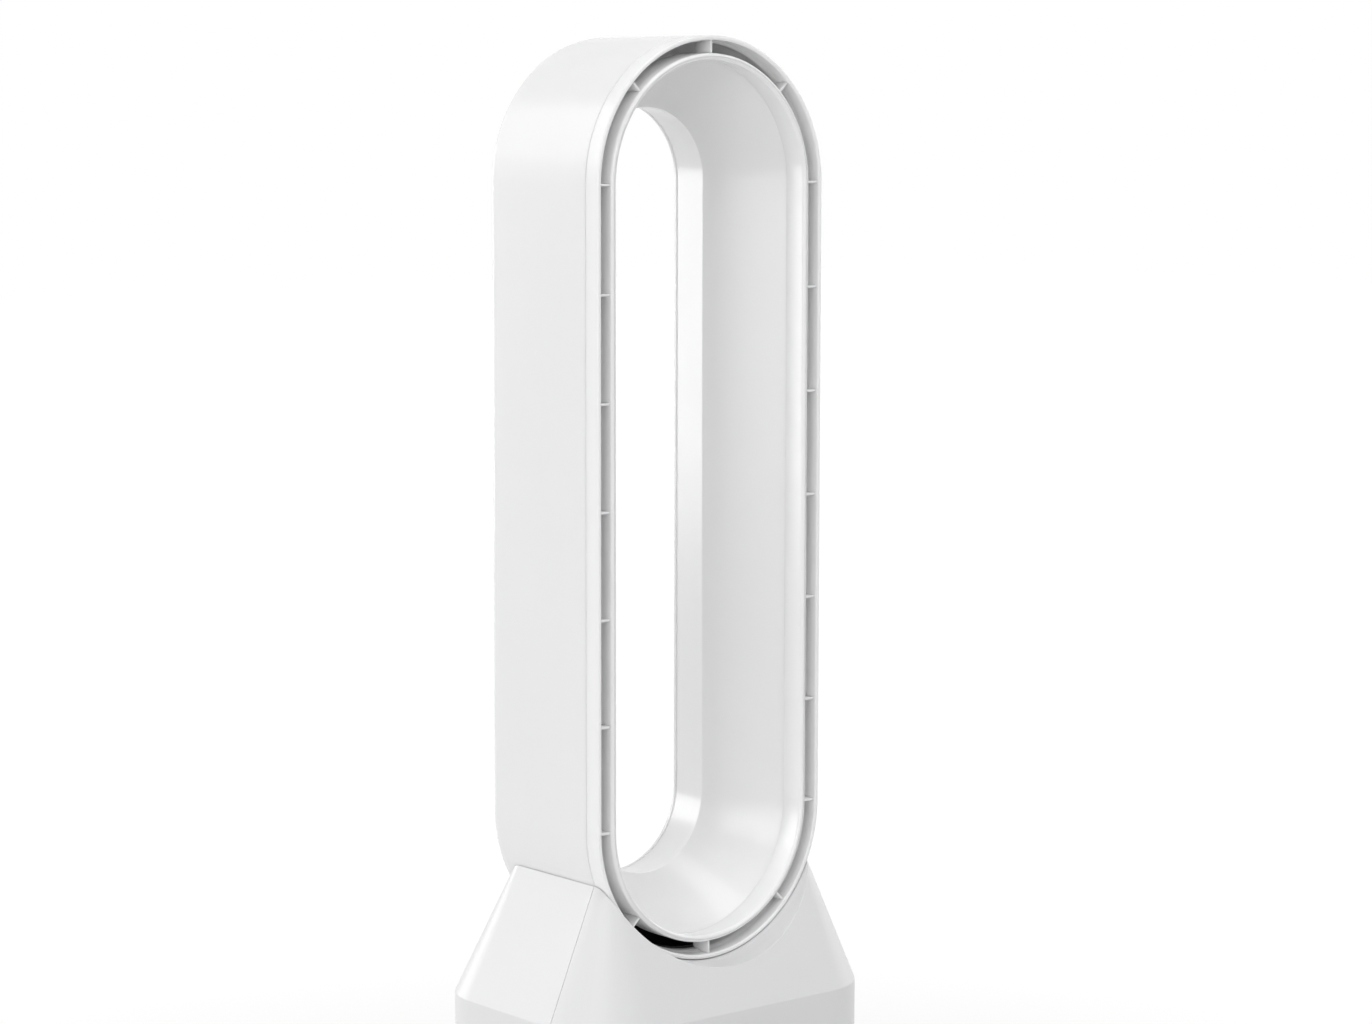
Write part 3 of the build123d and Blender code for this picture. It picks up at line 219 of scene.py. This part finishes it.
# ---- Blower --------------------------------------------------------------------------------------
# Grey moulded intake, casing and diffuser in a stack, closed by a foam ring and a tapered duct. The
# impeller is glossier, and turns on a steel shaft in two sintered bronze bushes.
grey_moulding = moulded("grey_moulded_plastic", (0.085, 0.088, 0.092), 0.48)
dress(grey_moulding, "intake_bellmouth", "blower_casing", "diffuser", "neck_duct")
impeller_grey = moulded("grey_impeller_plastic", (0.16, 0.165, 0.175), 0.34)
dress(impeller_grey, "impeller")
foam = moulded("grey_foam", (0.05, 0.05, 0.052), 0.9, grain=0.0012, depth=0.0002)
dress(foam, "neck_gasket")
bronze = steel("sintered_bronze", (0.45, 0.30, 0.14), 0.45)
dress(bronze, "lower_bearing_bush", "upper_bearing_bush")
magnet_grey = (0.045, 0.045, 0.048)
ferrite = moulded("sintered_ferrite", magnet_grey, 0.5, grain=0.0005, depth=0.00002)
dress(ferrite, "motor_rotor")


def banded(name, low, high, roughness, pitch, metallic):
    """Thin level layers, such as stacked sheet or a winding's turns."""
    # A wave texture of scale 1 has a band every 0.314 m.
    band_width = 0.314
    waver = 0.4
    patch_size = 0.004
    gloss_swing = 0.15
    layer_depth = 0.3 * pitch
    finish = Finish(name, high, roughness, Metallic=metallic)
    sockets = {"Vector": finish.place(), "Scale": band_width / pitch, "Distortion": waver}
    wave = finish.node("ShaderNodeTexWave", {"bands_direction": "Z"}, sockets)
    finish.feed("Base Color", finish.between(wave, low, high))
    finish.feed("Roughness", roughness + gloss_swing * finish.noise(patch_size))
    finish.feed("Normal", finish.relief(wave, layer_depth))
    return finish


sheet_dark, sheet_light = (0.12, 0.12, 0.13), (0.24, 0.24, 0.25)
laminations = banded("laminated_iron", sheet_dark, sheet_light, 0.4, pitch=0.0005, metallic=0.9)
dress(laminations, "motor_stator")
wire_dark, wire_light = (0.28, 0.10, 0.04), (0.62, 0.27, 0.12)
winding = banded("enamelled_copper", wire_dark, wire_light, 0.28, pitch=0.0006, metallic=0.85)
dress(winding, "motor_coils")


# ---- Electronics ---------------------------------------------------------------------------------
# Two green boards: the power board on the turntable and the control board behind the front cover.
# Solder mask covers their copper, so the traces show as slightly lighter, raised bands.
def board_finish():
    traces_per_metre = 260.0
    trace_gap = 0.12
    trace_height = 0.00003
    finish = Finish("green_solder_mask", (0.02, 0.11, 0.045), 0.3)
    sockets = {"Vector": finish.place(), "Scale": traces_per_metre}
    traces = finish.node("ShaderNodeTexVoronoi", {"feature": "DISTANCE_TO_EDGE"}, sockets)
    copper = traces > trace_gap
    finish.feed("Base Color", finish.between(copper, (0.012, 0.07, 0.03), (0.025, 0.14, 0.055)))
    finish.feed("Normal", finish.relief(copper, trace_height))
    return finish


dress(board_finish(), "power_board", "control_board")
dress(moulded("moulded_component", (0.035, 0.05, 0.09), 0.38), "power_parts")
dress(moulded("black_component", (0.02, 0.02, 0.02), 0.4), "push_switches", "digit_display")
dress(moulded("red_tinted_epoxy", (0.03, 0.006, 0.008), 0.12), "remote_receiver")


# ---- Neck ----------------------------------------------------------------------------------------
# A collar lines the hole that joins the base to the loop. Its near-black colour is painted shade,
# standing for the dark of the deep hole down into the base. It shows as a dark mouth at the
# bottom of the air slot.
# Painted shade: near-black in place of the shade deep in the neck hole.
painted_shade_black = moulded("painted_shade_collar_plastic", (0.008, 0.008, 0.009), 0.6)
dress(painted_shade_black, "neck_collar")


# ---- Base covers ---------------------------------------------------------------------------------
# Front and rear covers of satin white plastic, moulded 3 mm thick. The column slants in to a
# shoulder with a round trough, in which the loop stands, and the covers meet at an upright seam.
cover_wall = 0.003
column_corner = 0.050
shoulder_corner = 0.012
fold_height = 0.236
shoulder_height = 0.328
shoulder_front = -0.060
shoulder_back = 0.050
neck_radius = 0.0442
neck_offset = 0.006
fold_radius = 0.016
trough_edge_round = 0.0009
trough_gap = 0.0006
seam_gap = 0.0005
loop_low, loop_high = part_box("loop_outer_shell")
loop_radius = loop_high.x
low_axis = loop_low.z + loop_radius
trough_radius = loop_radius + trough_gap
rear_low, rear_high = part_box("base_rear_cover")
column_half_width = rear_high.x
column_half_depth = rear_high.y
column_foot = rear_low.z
shoulder_half_width = sqrt(trough_radius ** 2 - (low_axis - shoulder_height) ** 2)
side_slant = (column_half_width - shoulder_half_width) / (shoulder_height - fold_height)
fold_round = fold_radius * tan(atan(side_slant) / 2)
front_steps = 48
corner_steps = 12


def rounded_ring(half_width, front, back, corner):
    """Points of a rounded rectangle, anticlockwise from the left end of its front edge."""
    reach = half_width - corner
    edge = [(2 * k / front_steps - 1) * reach for k in range(front_steps + 1)]
    arc = [radians(90 * k / corner_steps) for k in range(corner_steps + 1)]
    points = [(x, front) for x in edge]
    points += [(reach + corner * sin(a), front + corner - corner * cos(a)) for a in arc[1:]]
    points += [(reach + corner * cos(a), back - corner + corner * sin(a)) for a in arc]
    points += [(-x, back) for x in edge[1:]]
    points += [(-reach - corner * sin(a), back - corner + corner * cos(a)) for a in arc[1:]]
    points += [(-reach - corner * cos(a), front + corner - corner * sin(a)) for a in arc[:-1]]
    return points


def skinned(name, rings, closed=False, caps=True):
    """A mesh with a skin of four-sided faces over rings that have equal numbers of points."""
    count = len(rings[0])
    points = [point for ring in rings for point in ring]
    faces = []
    for k in range(len(rings) if closed else len(rings) - 1):
        here = count * k
        there = count * ((k + 1) % len(rings))
        for i in range(count):
            after = (i + 1) % count
            faces.append((here + i, here + after, there + after, there + i))
    if caps and not closed:
        faces.append(tuple(reversed(range(count))))
        faces.append(tuple(range(len(points) - count, len(points))))
    mesh = bpy.data.meshes.new(name)
    mesh.from_pydata(points, [], faces)
    return mesh


def placed(name, mesh, finish=None):
    """Puts a mesh in the scene and turns all its faces outwards."""
    work = bmesh.new()
    work.from_mesh(mesh)
    bmesh.ops.recalc_face_normals(work, faces=work.faces)
    work.to_mesh(mesh)
    work.free()
    thing = bpy.data.objects.new(name, mesh)
    bpy.context.scene.collection.objects.link(thing)
    if finish:
        mesh.materials.append(finish.material)
    return thing


def apply_modifiers(thing):
    """Gives the piece the mesh that its modifiers make of it."""
    bpy.context.view_layer.update()
    shape = thing.evaluated_get(bpy.context.evaluated_depsgraph_get())
    thing.data = bpy.data.meshes.new_from_object(shape)
    thing.modifiers.clear()


def settle(thing, crease=32.0):
    """Applies the modifiers, then shades curved faces smooth and keeps the flat ones flat."""
    apply_modifiers(thing)
    thing.data.shade_smooth()
    thing.data.set_sharp_from_angle(angle=radians(crease))
    weights = thing.modifiers.new("flat_faces", "WEIGHTED_NORMAL")
    weights.keep_sharp = True
    apply_modifiers(thing)


def carve(thing, tool, operation="DIFFERENCE"):
    """Cuts the tool out of the piece, or keeps only what lies inside it, and scraps the tool."""
    cut = thing.modifiers.new("cut", "BOOLEAN")
    cut.operation = operation
    cut.solver = "EXACT"
    cut.object = tool
    apply_modifiers(thing)
    bpy.data.objects.remove(tool)


def cover_rings(inset, round_radius):
    """Outline of the covers at the trough, the fold and the foot, drawn in by inset all round."""
    low = rounded_ring(column_half_width - inset, inset - column_half_depth,
                       column_half_depth - inset, column_corner - inset)
    high = rounded_ring(shoulder_half_width - inset, shoulder_front + inset,
                        shoulder_back - inset, shoulder_corner - inset)
    rise = shoulder_height - fold_height
    drop = low_axis - fold_height
    trough = []
    # A straight line goes up from each point of the fold, and ends where it meets the trough.
    for (x0, y0), (x1, y1) in zip(low, high):
        a = (x1 - x0) ** 2 + rise ** 2
        b = x0 * (x1 - x0) - rise * drop
        c = x0 ** 2 + drop ** 2 - round_radius ** 2
        share = min(1.0, (-b - sqrt(max(0.0, b * b - a * c))) / a)
        trough.append((x0 + (x1 - x0) * share, y0 + (y1 - y0) * share, fold_height + rise * share))
    fold = [(x, y, fold_height) for x, y in low]
    foot = [(x, y, column_foot) for x, y in low]
    return [trough, fold, foot]


def cover_body():
    """Both covers in one closed body, with small radii on the fold and on the trough's edge."""
    outside = cover_rings(0.0, trough_radius)
    inside = cover_rings(cover_wall, trough_radius + cover_wall)
    rings = outside + inside[::-1]
    count = len(rings[0])
    mesh = skinned("cover_body", rings, caps=False)
    work = bmesh.new()
    work.from_mesh(mesh)
    work.verts.ensure_lookup_table()
    # The trough's face, and the one under it, are laid in strips from the front to the back edge.
    right_corner = front_steps + corner_steps
    ahead = list(range(count - corner_steps, count)) + list(range(right_corner + 1))
    behind = list(range(right_corner + 1, count - corner_steps))[::-1]
    for start in (0, 5 * count):
        for k in range(len(ahead) - 1):
            corners = (ahead[k], ahead[k + 1], behind[k + 1], behind[k])
            work.faces.new([work.verts[start + i] for i in corners])
    # One bevel rounds two rings of edges: the fold at its full width, and the trough's a little.
    weights = work.edges.layers.float.new("bevel_weight_edge")
    for edge in work.edges:
        first, second = sorted(vertex.index for vertex in edge.verts)
        if second < count and second - first in (1, count - 1):
            edge[weights] = trough_edge_round / fold_round
        if count <= first and second < 2 * count:
            edge[weights] = 1.0
    work.to_mesh(mesh)
    work.free()
    body = placed("cover_body", mesh)
    bevel = body.modifiers.new("edges", "BEVEL")
    bevel.limit_method = "WEIGHT"
    bevel.width = fold_round
    bevel.segments = 4
    return body


far = 0.3
hole_chamfer = 0.0004
punch_depth = 0.010


def slab(front, back):
    """A cutting tool wider and taller than the base, from the front plane to the back plane."""
    outline = [(-far, front), (far, front), (far, back), (-far, back)]
    rings = [[(x, y, z) for x, y in outline] for z in (0.0, 2 * far)]
    return placed("tool", skinned("tool", rings))


def neck_punch(radius, low, high):
    """A round cutting tool on the neck's axis."""
    turns = [radians(5 * k) for k in range(72)]
    outline = [(radius * cos(turn), neck_offset + radius * sin(turn)) for turn in turns]
    return placed("tool", skinned("tool", [[(x, y, z) for x, y in outline] for z in (low, high)]))


def punch(outline, flare, place):
    """A cutting tool that goes in from the outside face, and chamfers its hole's edge there."""
    levels = ((flare, -hole_chamfer), (flare, 0.0), (outline, hole_chamfer), (outline, punch_depth))
    rings = [[place @ Vector((x, level, z)) for x, z in points] for points, level in levels]
    return placed("tool", skinned("tool", rings))


def rectangle_punch(width, low, high, place):
    """A punch for an opening of that width between two heights."""
    def corners(spare):
        x = width / 2 + spare
        return [(-x, low - spare), (x, low - spare), (x, high + spare), (-x, high + spare)]

    return punch(corners(0.0), corners(hole_chamfer), place)


button_ring = [(cos(radians(7.5 * k)), sin(radians(7.5 * k))) for k in range(48)]


def button_punch(middle, radius, place):
    """A punch for a round hole."""
    def circle(reach):
        return [(middle.x + reach * x, middle.z + reach * z) for x, z in button_ring]

    return punch(circle(radius), circle(radius + hole_chamfer), place)


front_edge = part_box("base_front_cover")[1].y
rear_cover = cover_body()
settle(rear_cover)
front_cover = placed("front_cover", rear_cover.data.copy(), satin_white)
carve(front_cover, slab(-far, front_edge), "INTERSECT")
carve(rear_cover, slab(front_edge + seam_gap, far), "INTERSECT")
carve(rear_cover, neck_punch(neck_radius, fold_height, low_axis))

# The front cover has a window for the digits and five round holes for the buttons. The rear cover
# has an opening for a grille on each side and at the back.
window_width = 0.066
window_low, window_high = 0.176, 0.204
button_hole = 0.0079
buttons = ("button_power", "button_slower", "button_faster", "button_sweep", "button_timer")
panel = Matrix.Translation((0.0, -column_half_depth, 0.0))
carve(front_cover, rectangle_punch(window_width, window_low, window_high, panel))
for name in buttons:
    cap_low, cap_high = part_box(name)
    carve(front_cover, button_punch((cap_low + cap_high) / 2, button_hole, panel))
side_opening = 0.074
rear_opening = 0.124
opening_low, opening_high = 0.052, 0.188
left_wall = Matrix.Translation((-column_half_width, 0.0, 0.0)) @ Matrix.Rotation(-pi / 2, 4, "Z")
right_wall = Matrix.Translation((column_half_width, 0.0, 0.0)) @ Matrix.Rotation(pi / 2, 4, "Z")
rear_wall = Matrix.Translation((0.0, column_half_depth, 0.0)) @ Matrix.Rotation(pi, 4, "Z")
openings = {
    "grille_left": (side_opening, left_wall),
    "grille_right": (side_opening, right_wall),
    "grille_rear": (rear_opening, rear_wall),
}
for width, place in openings.values():
    carve(rear_cover, rectangle_punch(width, opening_low, opening_high, place))
for cover, node in ((front_cover, "base_front_cover"), (rear_cover, "base_rear_cover")):
    cover.name = node.replace("base_", "")
    cover.data.materials.clear()
    cover.data.materials.append(satin_white.material)
    settle(cover)
    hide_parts(node)
    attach(cover, "tower")


# ---- Grilles -------------------------------------------------------------------------------------
# Slanted white louvres in snap-in frames, one on each side and one at the back. The wide one at the
# back has an upright bar in the middle.
grained_white = (0.79, 0.79, 0.795)
grille_white = moulded("grained_white_plastic", grained_white, 0.45, grain=0.001, depth=0.000004)
grille_middle = (opening_low + opening_high) / 2
grille_height = opening_high - opening_low
grille_frame = 0.004
grille_wall = 0.003
grille_lip = 0.003
grille_lip_wall = 0.0016
grille_gap = 0.0003
grille_bar = 0.004
louvre_count = 15
louvre_wall = 0.0018
louvre_rise = grille_wall * tan(radians(35))
outer_round = 0.0006
inner_round = 0.0004


def rounded(corners, steps=5):
    """A closed outline of (x, y, radius) corners, each turned to its radius."""
    points = []
    for k, (x, y, radius) in enumerate(corners):
        corner = Vector((x, y))
        if not radius:
            points.append(corner)
            continue
        before = (Vector(corners[k - 1][:2]) - corner).normalized()
        after = (Vector(corners[(k + 1) % len(corners)][:2]) - corner).normalized()
        half = before.angle(after) / 2
        centre = corner + (before + after).normalized() * radius / sin(half)
        start = corner + before * radius / tan(half) - centre
        stop = corner + after * radius / tan(half) - centre
        sweep = pi - 2 * half
        for step in range(steps + 1):
            share = sweep * step / steps
            points.append(centre + (start * sin(sweep - share) + stop * sin(share)) / sin(sweep))
    return points


def louvre_blade(z):
    """Section of one louvre, which slants up from its front edge at z."""
    half = louvre_wall / 2
    return rounded([
        (0.0, z - half, outer_round),
        (grille_wall, z + louvre_rise - half, inner_round),
        (grille_wall, z + louvre_rise + half, inner_round),
        (0.0, z + half, inner_round),
    ], steps=3)


def grille_panel(width, bar=0.0):
    """A frame with a rounded rim and a snap-in lip, and slanted louvres with rounded edges."""
    half_width = width / 2 - grille_gap
    half_height = grille_height / 2 - grille_gap
    lip_back = grille_wall + grille_lip_wall
    profile = rounded([
        (0.0, 0.0, outer_round),
        (grille_frame, 0.0, outer_round),
        (grille_frame, lip_back, 0.0003),
        (-grille_lip, lip_back, inner_round),
        (-grille_lip, grille_wall, inner_round),
        (0.0, grille_wall, 0.0),
    ], steps=3)
    rings = []
    for sx, sz in ((-1, -1), (1, -1), (1, 1), (-1, 1)):
        rings.append([(sx * (half_width - a), y, sz * (half_height - a)) for a, y in profile])
    panel = bmesh.new()
    panel.from_mesh(skinned("frame", rings, closed=True))
    reach = half_width - grille_frame + grille_gap
    opening = half_height - grille_frame
    for k in range(1, louvre_count):
        blade = louvre_blade(2 * opening * k / louvre_count - opening)
        rings = [[(x, y, z) for y, z in blade] for x in (-reach, reach)]
        panel.from_mesh(skinned("louvre", rings))
    if bar:
        upright = rounded([
            (-bar / 2, 0.0, outer_round),
            (bar / 2, 0.0, outer_round),
            (bar / 2, grille_wall, 0.0),
            (-bar / 2, grille_wall, 0.0),
        ], steps=3)
        ends = (-opening - grille_gap, opening + grille_gap)
        panel.from_mesh(skinned("bar", [[(x, y, z) for x, y in upright] for z in ends]))
    mesh = bpy.data.meshes.new("grille")
    panel.to_mesh(mesh)
    panel.free()
    return mesh


for node, (width, place) in openings.items():
    mesh = grille_panel(width, grille_bar if node == "grille_rear" else 0.0)
    mesh.transform(place @ Matrix.Translation((0.0, 0.0, grille_middle)))
    grille = placed(node.replace("grille", "louvres"), mesh, grille_white)
    settle(grille)
    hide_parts(node)
    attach(grille, "tower")


# ---- Controls ------------------------------------------------------------------------------------
# Five light grey push buttons under a smoked window that hides the digits. Each button has a domed
# face, a flange that stops it behind the cover, and a stem that reaches its switch.
cap_grey = (0.62, 0.62, 0.63)
button_grey = moulded("light_grey_plastic", cap_grey, 0.34, grain=0.001, depth=0.000004)
cap_radius = 0.0075
cap_edge = 0.0014
cap_edge_depth = 0.0013
cap_dome = 0.00035
cap_flange = 0.0016
cap_flange_wall = 0.0012
cap_stem = 0.0022
cap_gap = 0.0001
cap_centre = 0.0008


def cap_profile(face, tip):
    """Radius and depth from the domed face, round its rim and the flange, to the stem's tip."""
    stop = cover_wall + cap_gap - column_half_depth
    return rounded([
        (cap_centre, face, 0.0),
        (cap_radius - cap_edge, face + cap_dome, 0.002),
        (cap_radius, face + cap_edge_depth, 0.0005),
        (cap_radius, stop, 0.0002),
        (cap_radius + cap_flange, stop, 0.0003),
        (cap_radius + cap_flange, stop + cap_flange_wall, 0.0003),
        (cap_stem, stop + cap_flange_wall, 0.0002),
        (cap_stem, tip, 0.0003),
        (cap_centre, tip, 0.0),
    ])


for name in buttons:
    cap_low, cap_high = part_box(name)
    middle = (cap_low + cap_high) / 2
    rings = []
    for radius, y in cap_profile(cap_low.y, cap_high.y):
        rings.append([(middle.x + radius * x, y, middle.z + radius * z) for x, z in button_ring])
    cap = placed(name.replace("button", "cap"), skinned("cap", rings), button_grey)
    settle(cap)
    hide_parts(name)
    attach(cap, name)
smoke = (0.012, 0.012, 0.014)
smoked = moulded("smoked_acrylic", smoke, 0.08, Coat_Weight=0.6, Coat_Roughness=0.05)
dress(smoked, "display_window")


# ---- Loop ----------------------------------------------------------------------------------------
# The glossy white loop is three mouldings: the outer shell, the front ring with its ribs, and the
# inner wall with the rounded nose. Each has one section all the way round the oval, and their thin
# plastic lets a little light through into the air slot.
gloss_white = moulded(
    "gloss_white_plastic", (0.9, 0.9, 0.902), 0.20, grain=0.006, depth=0.0000015,
    Subsurface_Weight=0.8, Subsurface_Radius=(1.0, 1.0, 1.0), Subsurface_Scale=0.004,
)
high_axis = loop_high.z - loop_radius
ring_low, ring_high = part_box("loop_front_bezel")
wall_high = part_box("loop_inner_duct")[1]
loop_front = ring_low.y
shell_front = loop_low.y


def on_the_oval(axis, turn, reach, depth, aside=0.0):
    """The point reach from the oval's middle line at that turn, and aside along the oval."""
    x = reach * cos(turn) - aside * sin(turn)
    z = reach * sin(turn) + aside * cos(turn)
    return (x, depth, axis + z)


def oval_mesh(name, outline, steps=72):
    """Carries the section up the right side, over the top, down the left and underneath."""
    stations = [(high_axis, pi * k / steps) for k in range(steps + 1)]
    stations += [(low_axis, pi + pi * k / steps) for k in range(steps + 1)]
    rings = [[on_the_oval(axis, turn, x, y) for x, y in outline] for axis, turn in stations]
    return skinned(name, rings, closed=True)


shell_wall = 0.0025
edge_round = 0.0004
mouth = 0.0555
mouth_end = loop_front + 0.105
mouth_round = 0.0035
back_slope = 0.2704
back_round = 0.0044
back_allowance = 0.00135
neck_fit = 0.0002


def back_face(x):
    """Depth of the shell's slanted back face at x."""
    return loop_high.y + back_allowance - back_slope * (loop_radius - x)


shell_inside = loop_radius - shell_wall
mouth_inside = mouth + shell_wall
shell_outline = rounded([
    (loop_radius, shell_front, edge_round),
    (loop_radius, back_face(loop_radius), back_round),
    (mouth, back_face(mouth), mouth_round),
    (mouth, mouth_end, edge_round),
    (mouth_inside, mouth_end, edge_round),
    (mouth_inside, back_face(mouth_inside) - shell_wall, 0.0008),
    (shell_inside, back_face(shell_inside) - shell_wall, 0.0019),
    (shell_inside, shell_front, edge_round),
])
outer_shell = placed("outer_shell", oval_mesh("outer_shell", shell_outline), gloss_white)
neck_low, neck_high = loop_low.z - 0.010, loop_low.z + 0.024
carve(outer_shell, neck_punch(neck_radius - neck_fit, neck_low, neck_high))
settle(outer_shell)
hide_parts("loop_outer_shell")
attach(outer_shell, "tower")

# The front ring's lip is flush with the shell at a fine seam. Behind the seam a tongue goes in.
lip_wall = 0.0032
lip_round = 0.0013
lip_depth = 0.0035
ring_seam = shell_front - seam_gap
seam_round = 0.0003
slot_outer = loop_radius - lip_wall
tongue = loop_radius - 0.0027
tongue_inside = tongue - 0.0018
ring_outline = rounded([
    (loop_radius, ring_seam, seam_round),
    (loop_radius, loop_front, lip_round),
    (slot_outer, loop_front, lip_round),
    (slot_outer, shell_front - lip_depth, 0.002),
    (tongue_inside, ring_seam, 0.002),
    (tongue_inside, ring_high.y, seam_round),
    (tongue, ring_high.y, seam_round),
    (tongue, ring_seam, 0.0),
])
front_ring = placed("front_ring", oval_mesh("front_ring", ring_outline), gloss_white)
settle(front_ring)
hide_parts("loop_front_bezel")
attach(front_ring, "tower")

# Twenty thin ribs bridge the air slot at an even pitch. Each is let into the front ring's wall, has
# a rounded front edge, and stands a little off the nose of the inner wall.
nose_outer = wall_high.x
rib_pitch = 0.073
rib_wall = 0.0017
rib_round = 0.0006
rib_front = loop_front + 0.0022
rib_seat = 0.0068
rib_depth = 0.016
rib_taper = 0.0026
rib_inner = nose_outer + 0.0002
rib_outer = slot_outer + 0.0006
rib_outline = rounded([
    (rib_wall / 2, rib_front, rib_round),
    (rib_wall / 2, rib_front + rib_seat, 0.0),
    (rib_wall / 2, rib_front + rib_depth, 0.0),
    (-rib_wall / 2, rib_front + rib_depth, 0.0),
    (-rib_wall / 2, rib_front + rib_seat, 0.0),
    (-rib_wall / 2, rib_front, rib_round),
])
rib_places = [(low_axis + k * rib_pitch, turn) for k in range(7) for turn in (0.0, pi)]
rib_places += [(high_axis, k * pi / 4) for k in (1, 2, 3)]
rib_places += [(low_axis, -k * pi / 4) for k in (1, 2, 3)]
work = bmesh.new()
for axis, turn in rib_places:
    inner = [on_the_oval(axis, turn, rib_inner, y, x) for x, y in rib_outline]
    outer = []
    for x, y in rib_outline:
        share = max(0.0, (y - rib_front - rib_seat) / (rib_depth - rib_seat))
        outer.append(on_the_oval(axis, turn, rib_outer - rib_taper * share, y, x))
    work.from_mesh(skinned("rib", [inner, outer]))
rib_mesh = bpy.data.meshes.new("slot_ribs")
work.to_mesh(rib_mesh)
work.free()
ribs = placed("ribs", rib_mesh, gloss_white)
settle(ribs)
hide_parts("slot_ribs")
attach(ribs, "tower")

# The inner wall runs back from the nose over a flare band, a crease and the funnel to the rear
# mouth, where a flange behind it closes the seam with the shell.
nose_wall = 0.0048
nose_round = 0.00239
throat_wall = 0.0036
crease = (nose_outer - 0.0025, loop_front + 0.021)
throat = (0.0515, loop_front + 0.072)
tail = (mouth, wall_high.y)
flange_inner = mouth_inside + 0.0003
flange_outer = flange_inner + 0.0012
flange_end = tail[1] + 0.003
wall_outline = rounded([
    (nose_outer, loop_front, nose_round),
    (nose_outer - nose_wall, loop_front, nose_round),
    (*crease, 0.0012),
    (*throat, 0.002),
    (*tail, 0.0003),
    (flange_inner, tail[1], 0.0),
    (flange_inner, flange_end, 0.0003),
    (flange_outer, flange_end, 0.0003),
    (flange_outer, tail[1] - 0.002, 0.001),
    (throat[0] + throat_wall, throat[1], 0.002),
    (nose_outer, crease[1] + 0.004, 0.002),
], steps=8)
inner_wall = placed("inner_wall", oval_mesh("inner_wall", wall_outline), gloss_white)
settle(inner_wall)
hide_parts("loop_inner_duct")
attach(inner_wall, "tower")


# ---- Studio --------------------------------------------------------------------------------------
# A pale paper floor that runs into a white surround, seven soft boxes round the fan, and the camera
# where the photograph was taken from.
white = (1.0, 1.0, 1.0)
dark = (0.0, 0.0, 0.0)
paper = (0.68, 0.68, 0.68)
paper_glow = 0.32
glow_starts, glow_ends = 0.35, 1.2
floor_width = 24.0
floor_level = -0.0005


def seen(nodes):
    """1 on the rays that show the surround itself, and 0 on those that light the fan with it."""
    rays = ("Is Camera Ray", "Is Glossy Ray", "Is Transmission Ray")
    camera, glossy, clear = [nodes.node("ShaderNodeLightPath", output=ray) for ray in rays]
    return camera + glossy + clear


def studio_paper():
    """White paper that takes the fan's shadow, and is as white as the surround further out."""
    finish = Finish("white_paper", paper, 0.9, Specular_IOR_Level=0.1, Emission_Strength=1.0)
    shown = seen(finish)
    place = finish.place()
    reach = finish.node("ShaderNodeVectorMath", {"operation": "LENGTH"}, {0: place}, "Value")
    sockets = {"Value": reach, "From Min": glow_starts, "From Max": glow_ends}
    outer = finish.node("ShaderNodeMapRange", {"interpolation_type": "SMOOTHSTEP"}, sockets)
    glow = shown * (paper_glow + (1 - paper_glow) * outer)
    finish.feed("Emission Color", finish.between(glow, dark, white))
    finish.feed("Base Color", finish.between(shown * outer, paper, dark))
    finish.feed("Roughness", 0.86 + 0.08 * finish.noise(0.02, detail=4.0))
    return finish


bpy.ops.mesh.primitive_grid_add(x_subdivisions=8, y_subdivisions=8, size=floor_width)
floor = bpy.context.object
floor.name = "studio_floor"
floor.location.z = floor_level
floor.data.materials.append(studio_paper().material)

fan_middle = Vector((0.0, 0.0, 0.5))


def softbox(name, place, width, height, watts):
    """A large soft light that faces the middle of the fan."""
    lamp = bpy.data.lights.new(name, "AREA")
    lamp.shape = "RECTANGLE"
    lamp.size = width
    lamp.size_y = height
    lamp.energy = watts
    holder = bpy.data.objects.new(name, lamp)
    bpy.context.scene.collection.objects.link(holder)
    holder.location = place
    holder.rotation_euler = (fan_middle - Vector(place)).to_track_quat("-Z", "Y").to_euler()


softbox("left_softbox", (-4.2, -0.3, 1.0), 3.2, 1.8, 34.0)
softbox("front_left_softbox", (-3.6, -2.6, 1.6), 2.4, 2.0, 41.0)
softbox("back_left_softbox", (-2.8, 3.4, 2.7), 3.0, 2.4, 34.0)
softbox("right_softbox", (4.2, 0.0, 1.6), 3.2, 2.6, 38.0)
softbox("back_softbox", (-1.5, 4.4, 0.8), 2.4, 1.6, 46.0)
softbox("overhead_softbox", (0.3, -1.2, 4.4), 2.6, 2.6, 44.0)
softbox("high_front_softbox", (0.9, -3.2, 4.2), 2.6, 2.6, 40.0)

ambient = 0.36
world = bpy.data.worlds.new("white_surround")
bpy.context.scene.world = world
world.use_nodes = True
surround = Nodes(world.node_tree)
background = surround.tree.nodes["Background"].inputs
strength = {"Value": seen(surround), "To Min": ambient, "To Max": 1.0}
surround.plug(surround.node("ShaderNodeMapRange", {}, strength), background["Strength"])
surround.plug((*white, 1.0), background["Color"])

# The camera was fitted to the ribs, seams and lips of the loop. Its focal length came out in
# pixels, and is turned to millimetres by the film's width.
photo_width = 1372
focal_pixels = 3424.2
film_width = 36.0
camera_place = (-1.51235, -1.8416, 0.8533)
yaw, pitch, roll = radians(39.884), radians(6.688), radians(0.117)
ahead = Vector((sin(yaw) * cos(pitch), cos(yaw) * cos(pitch), -sin(pitch)))
level = Vector((cos(yaw), -sin(yaw), 0.0))
upright = level.cross(ahead)
right = level * cos(roll) + upright * sin(roll)
up = upright * cos(roll) - level * sin(roll)
camera = bpy.data.objects.new("photo_camera", bpy.data.cameras.new("photo_camera"))
bpy.context.scene.collection.objects.link(camera)
turned = Matrix((right, up, -ahead)).transposed().to_4x4()
camera.matrix_world = Matrix.Translation(camera_place) @ turned
camera.data.sensor_width = film_width
camera.data.lens = film_width * focal_pixels / photo_width
bpy.context.scene.camera = camera
bpy.context.scene.view_settings.view_transform = "Standard"
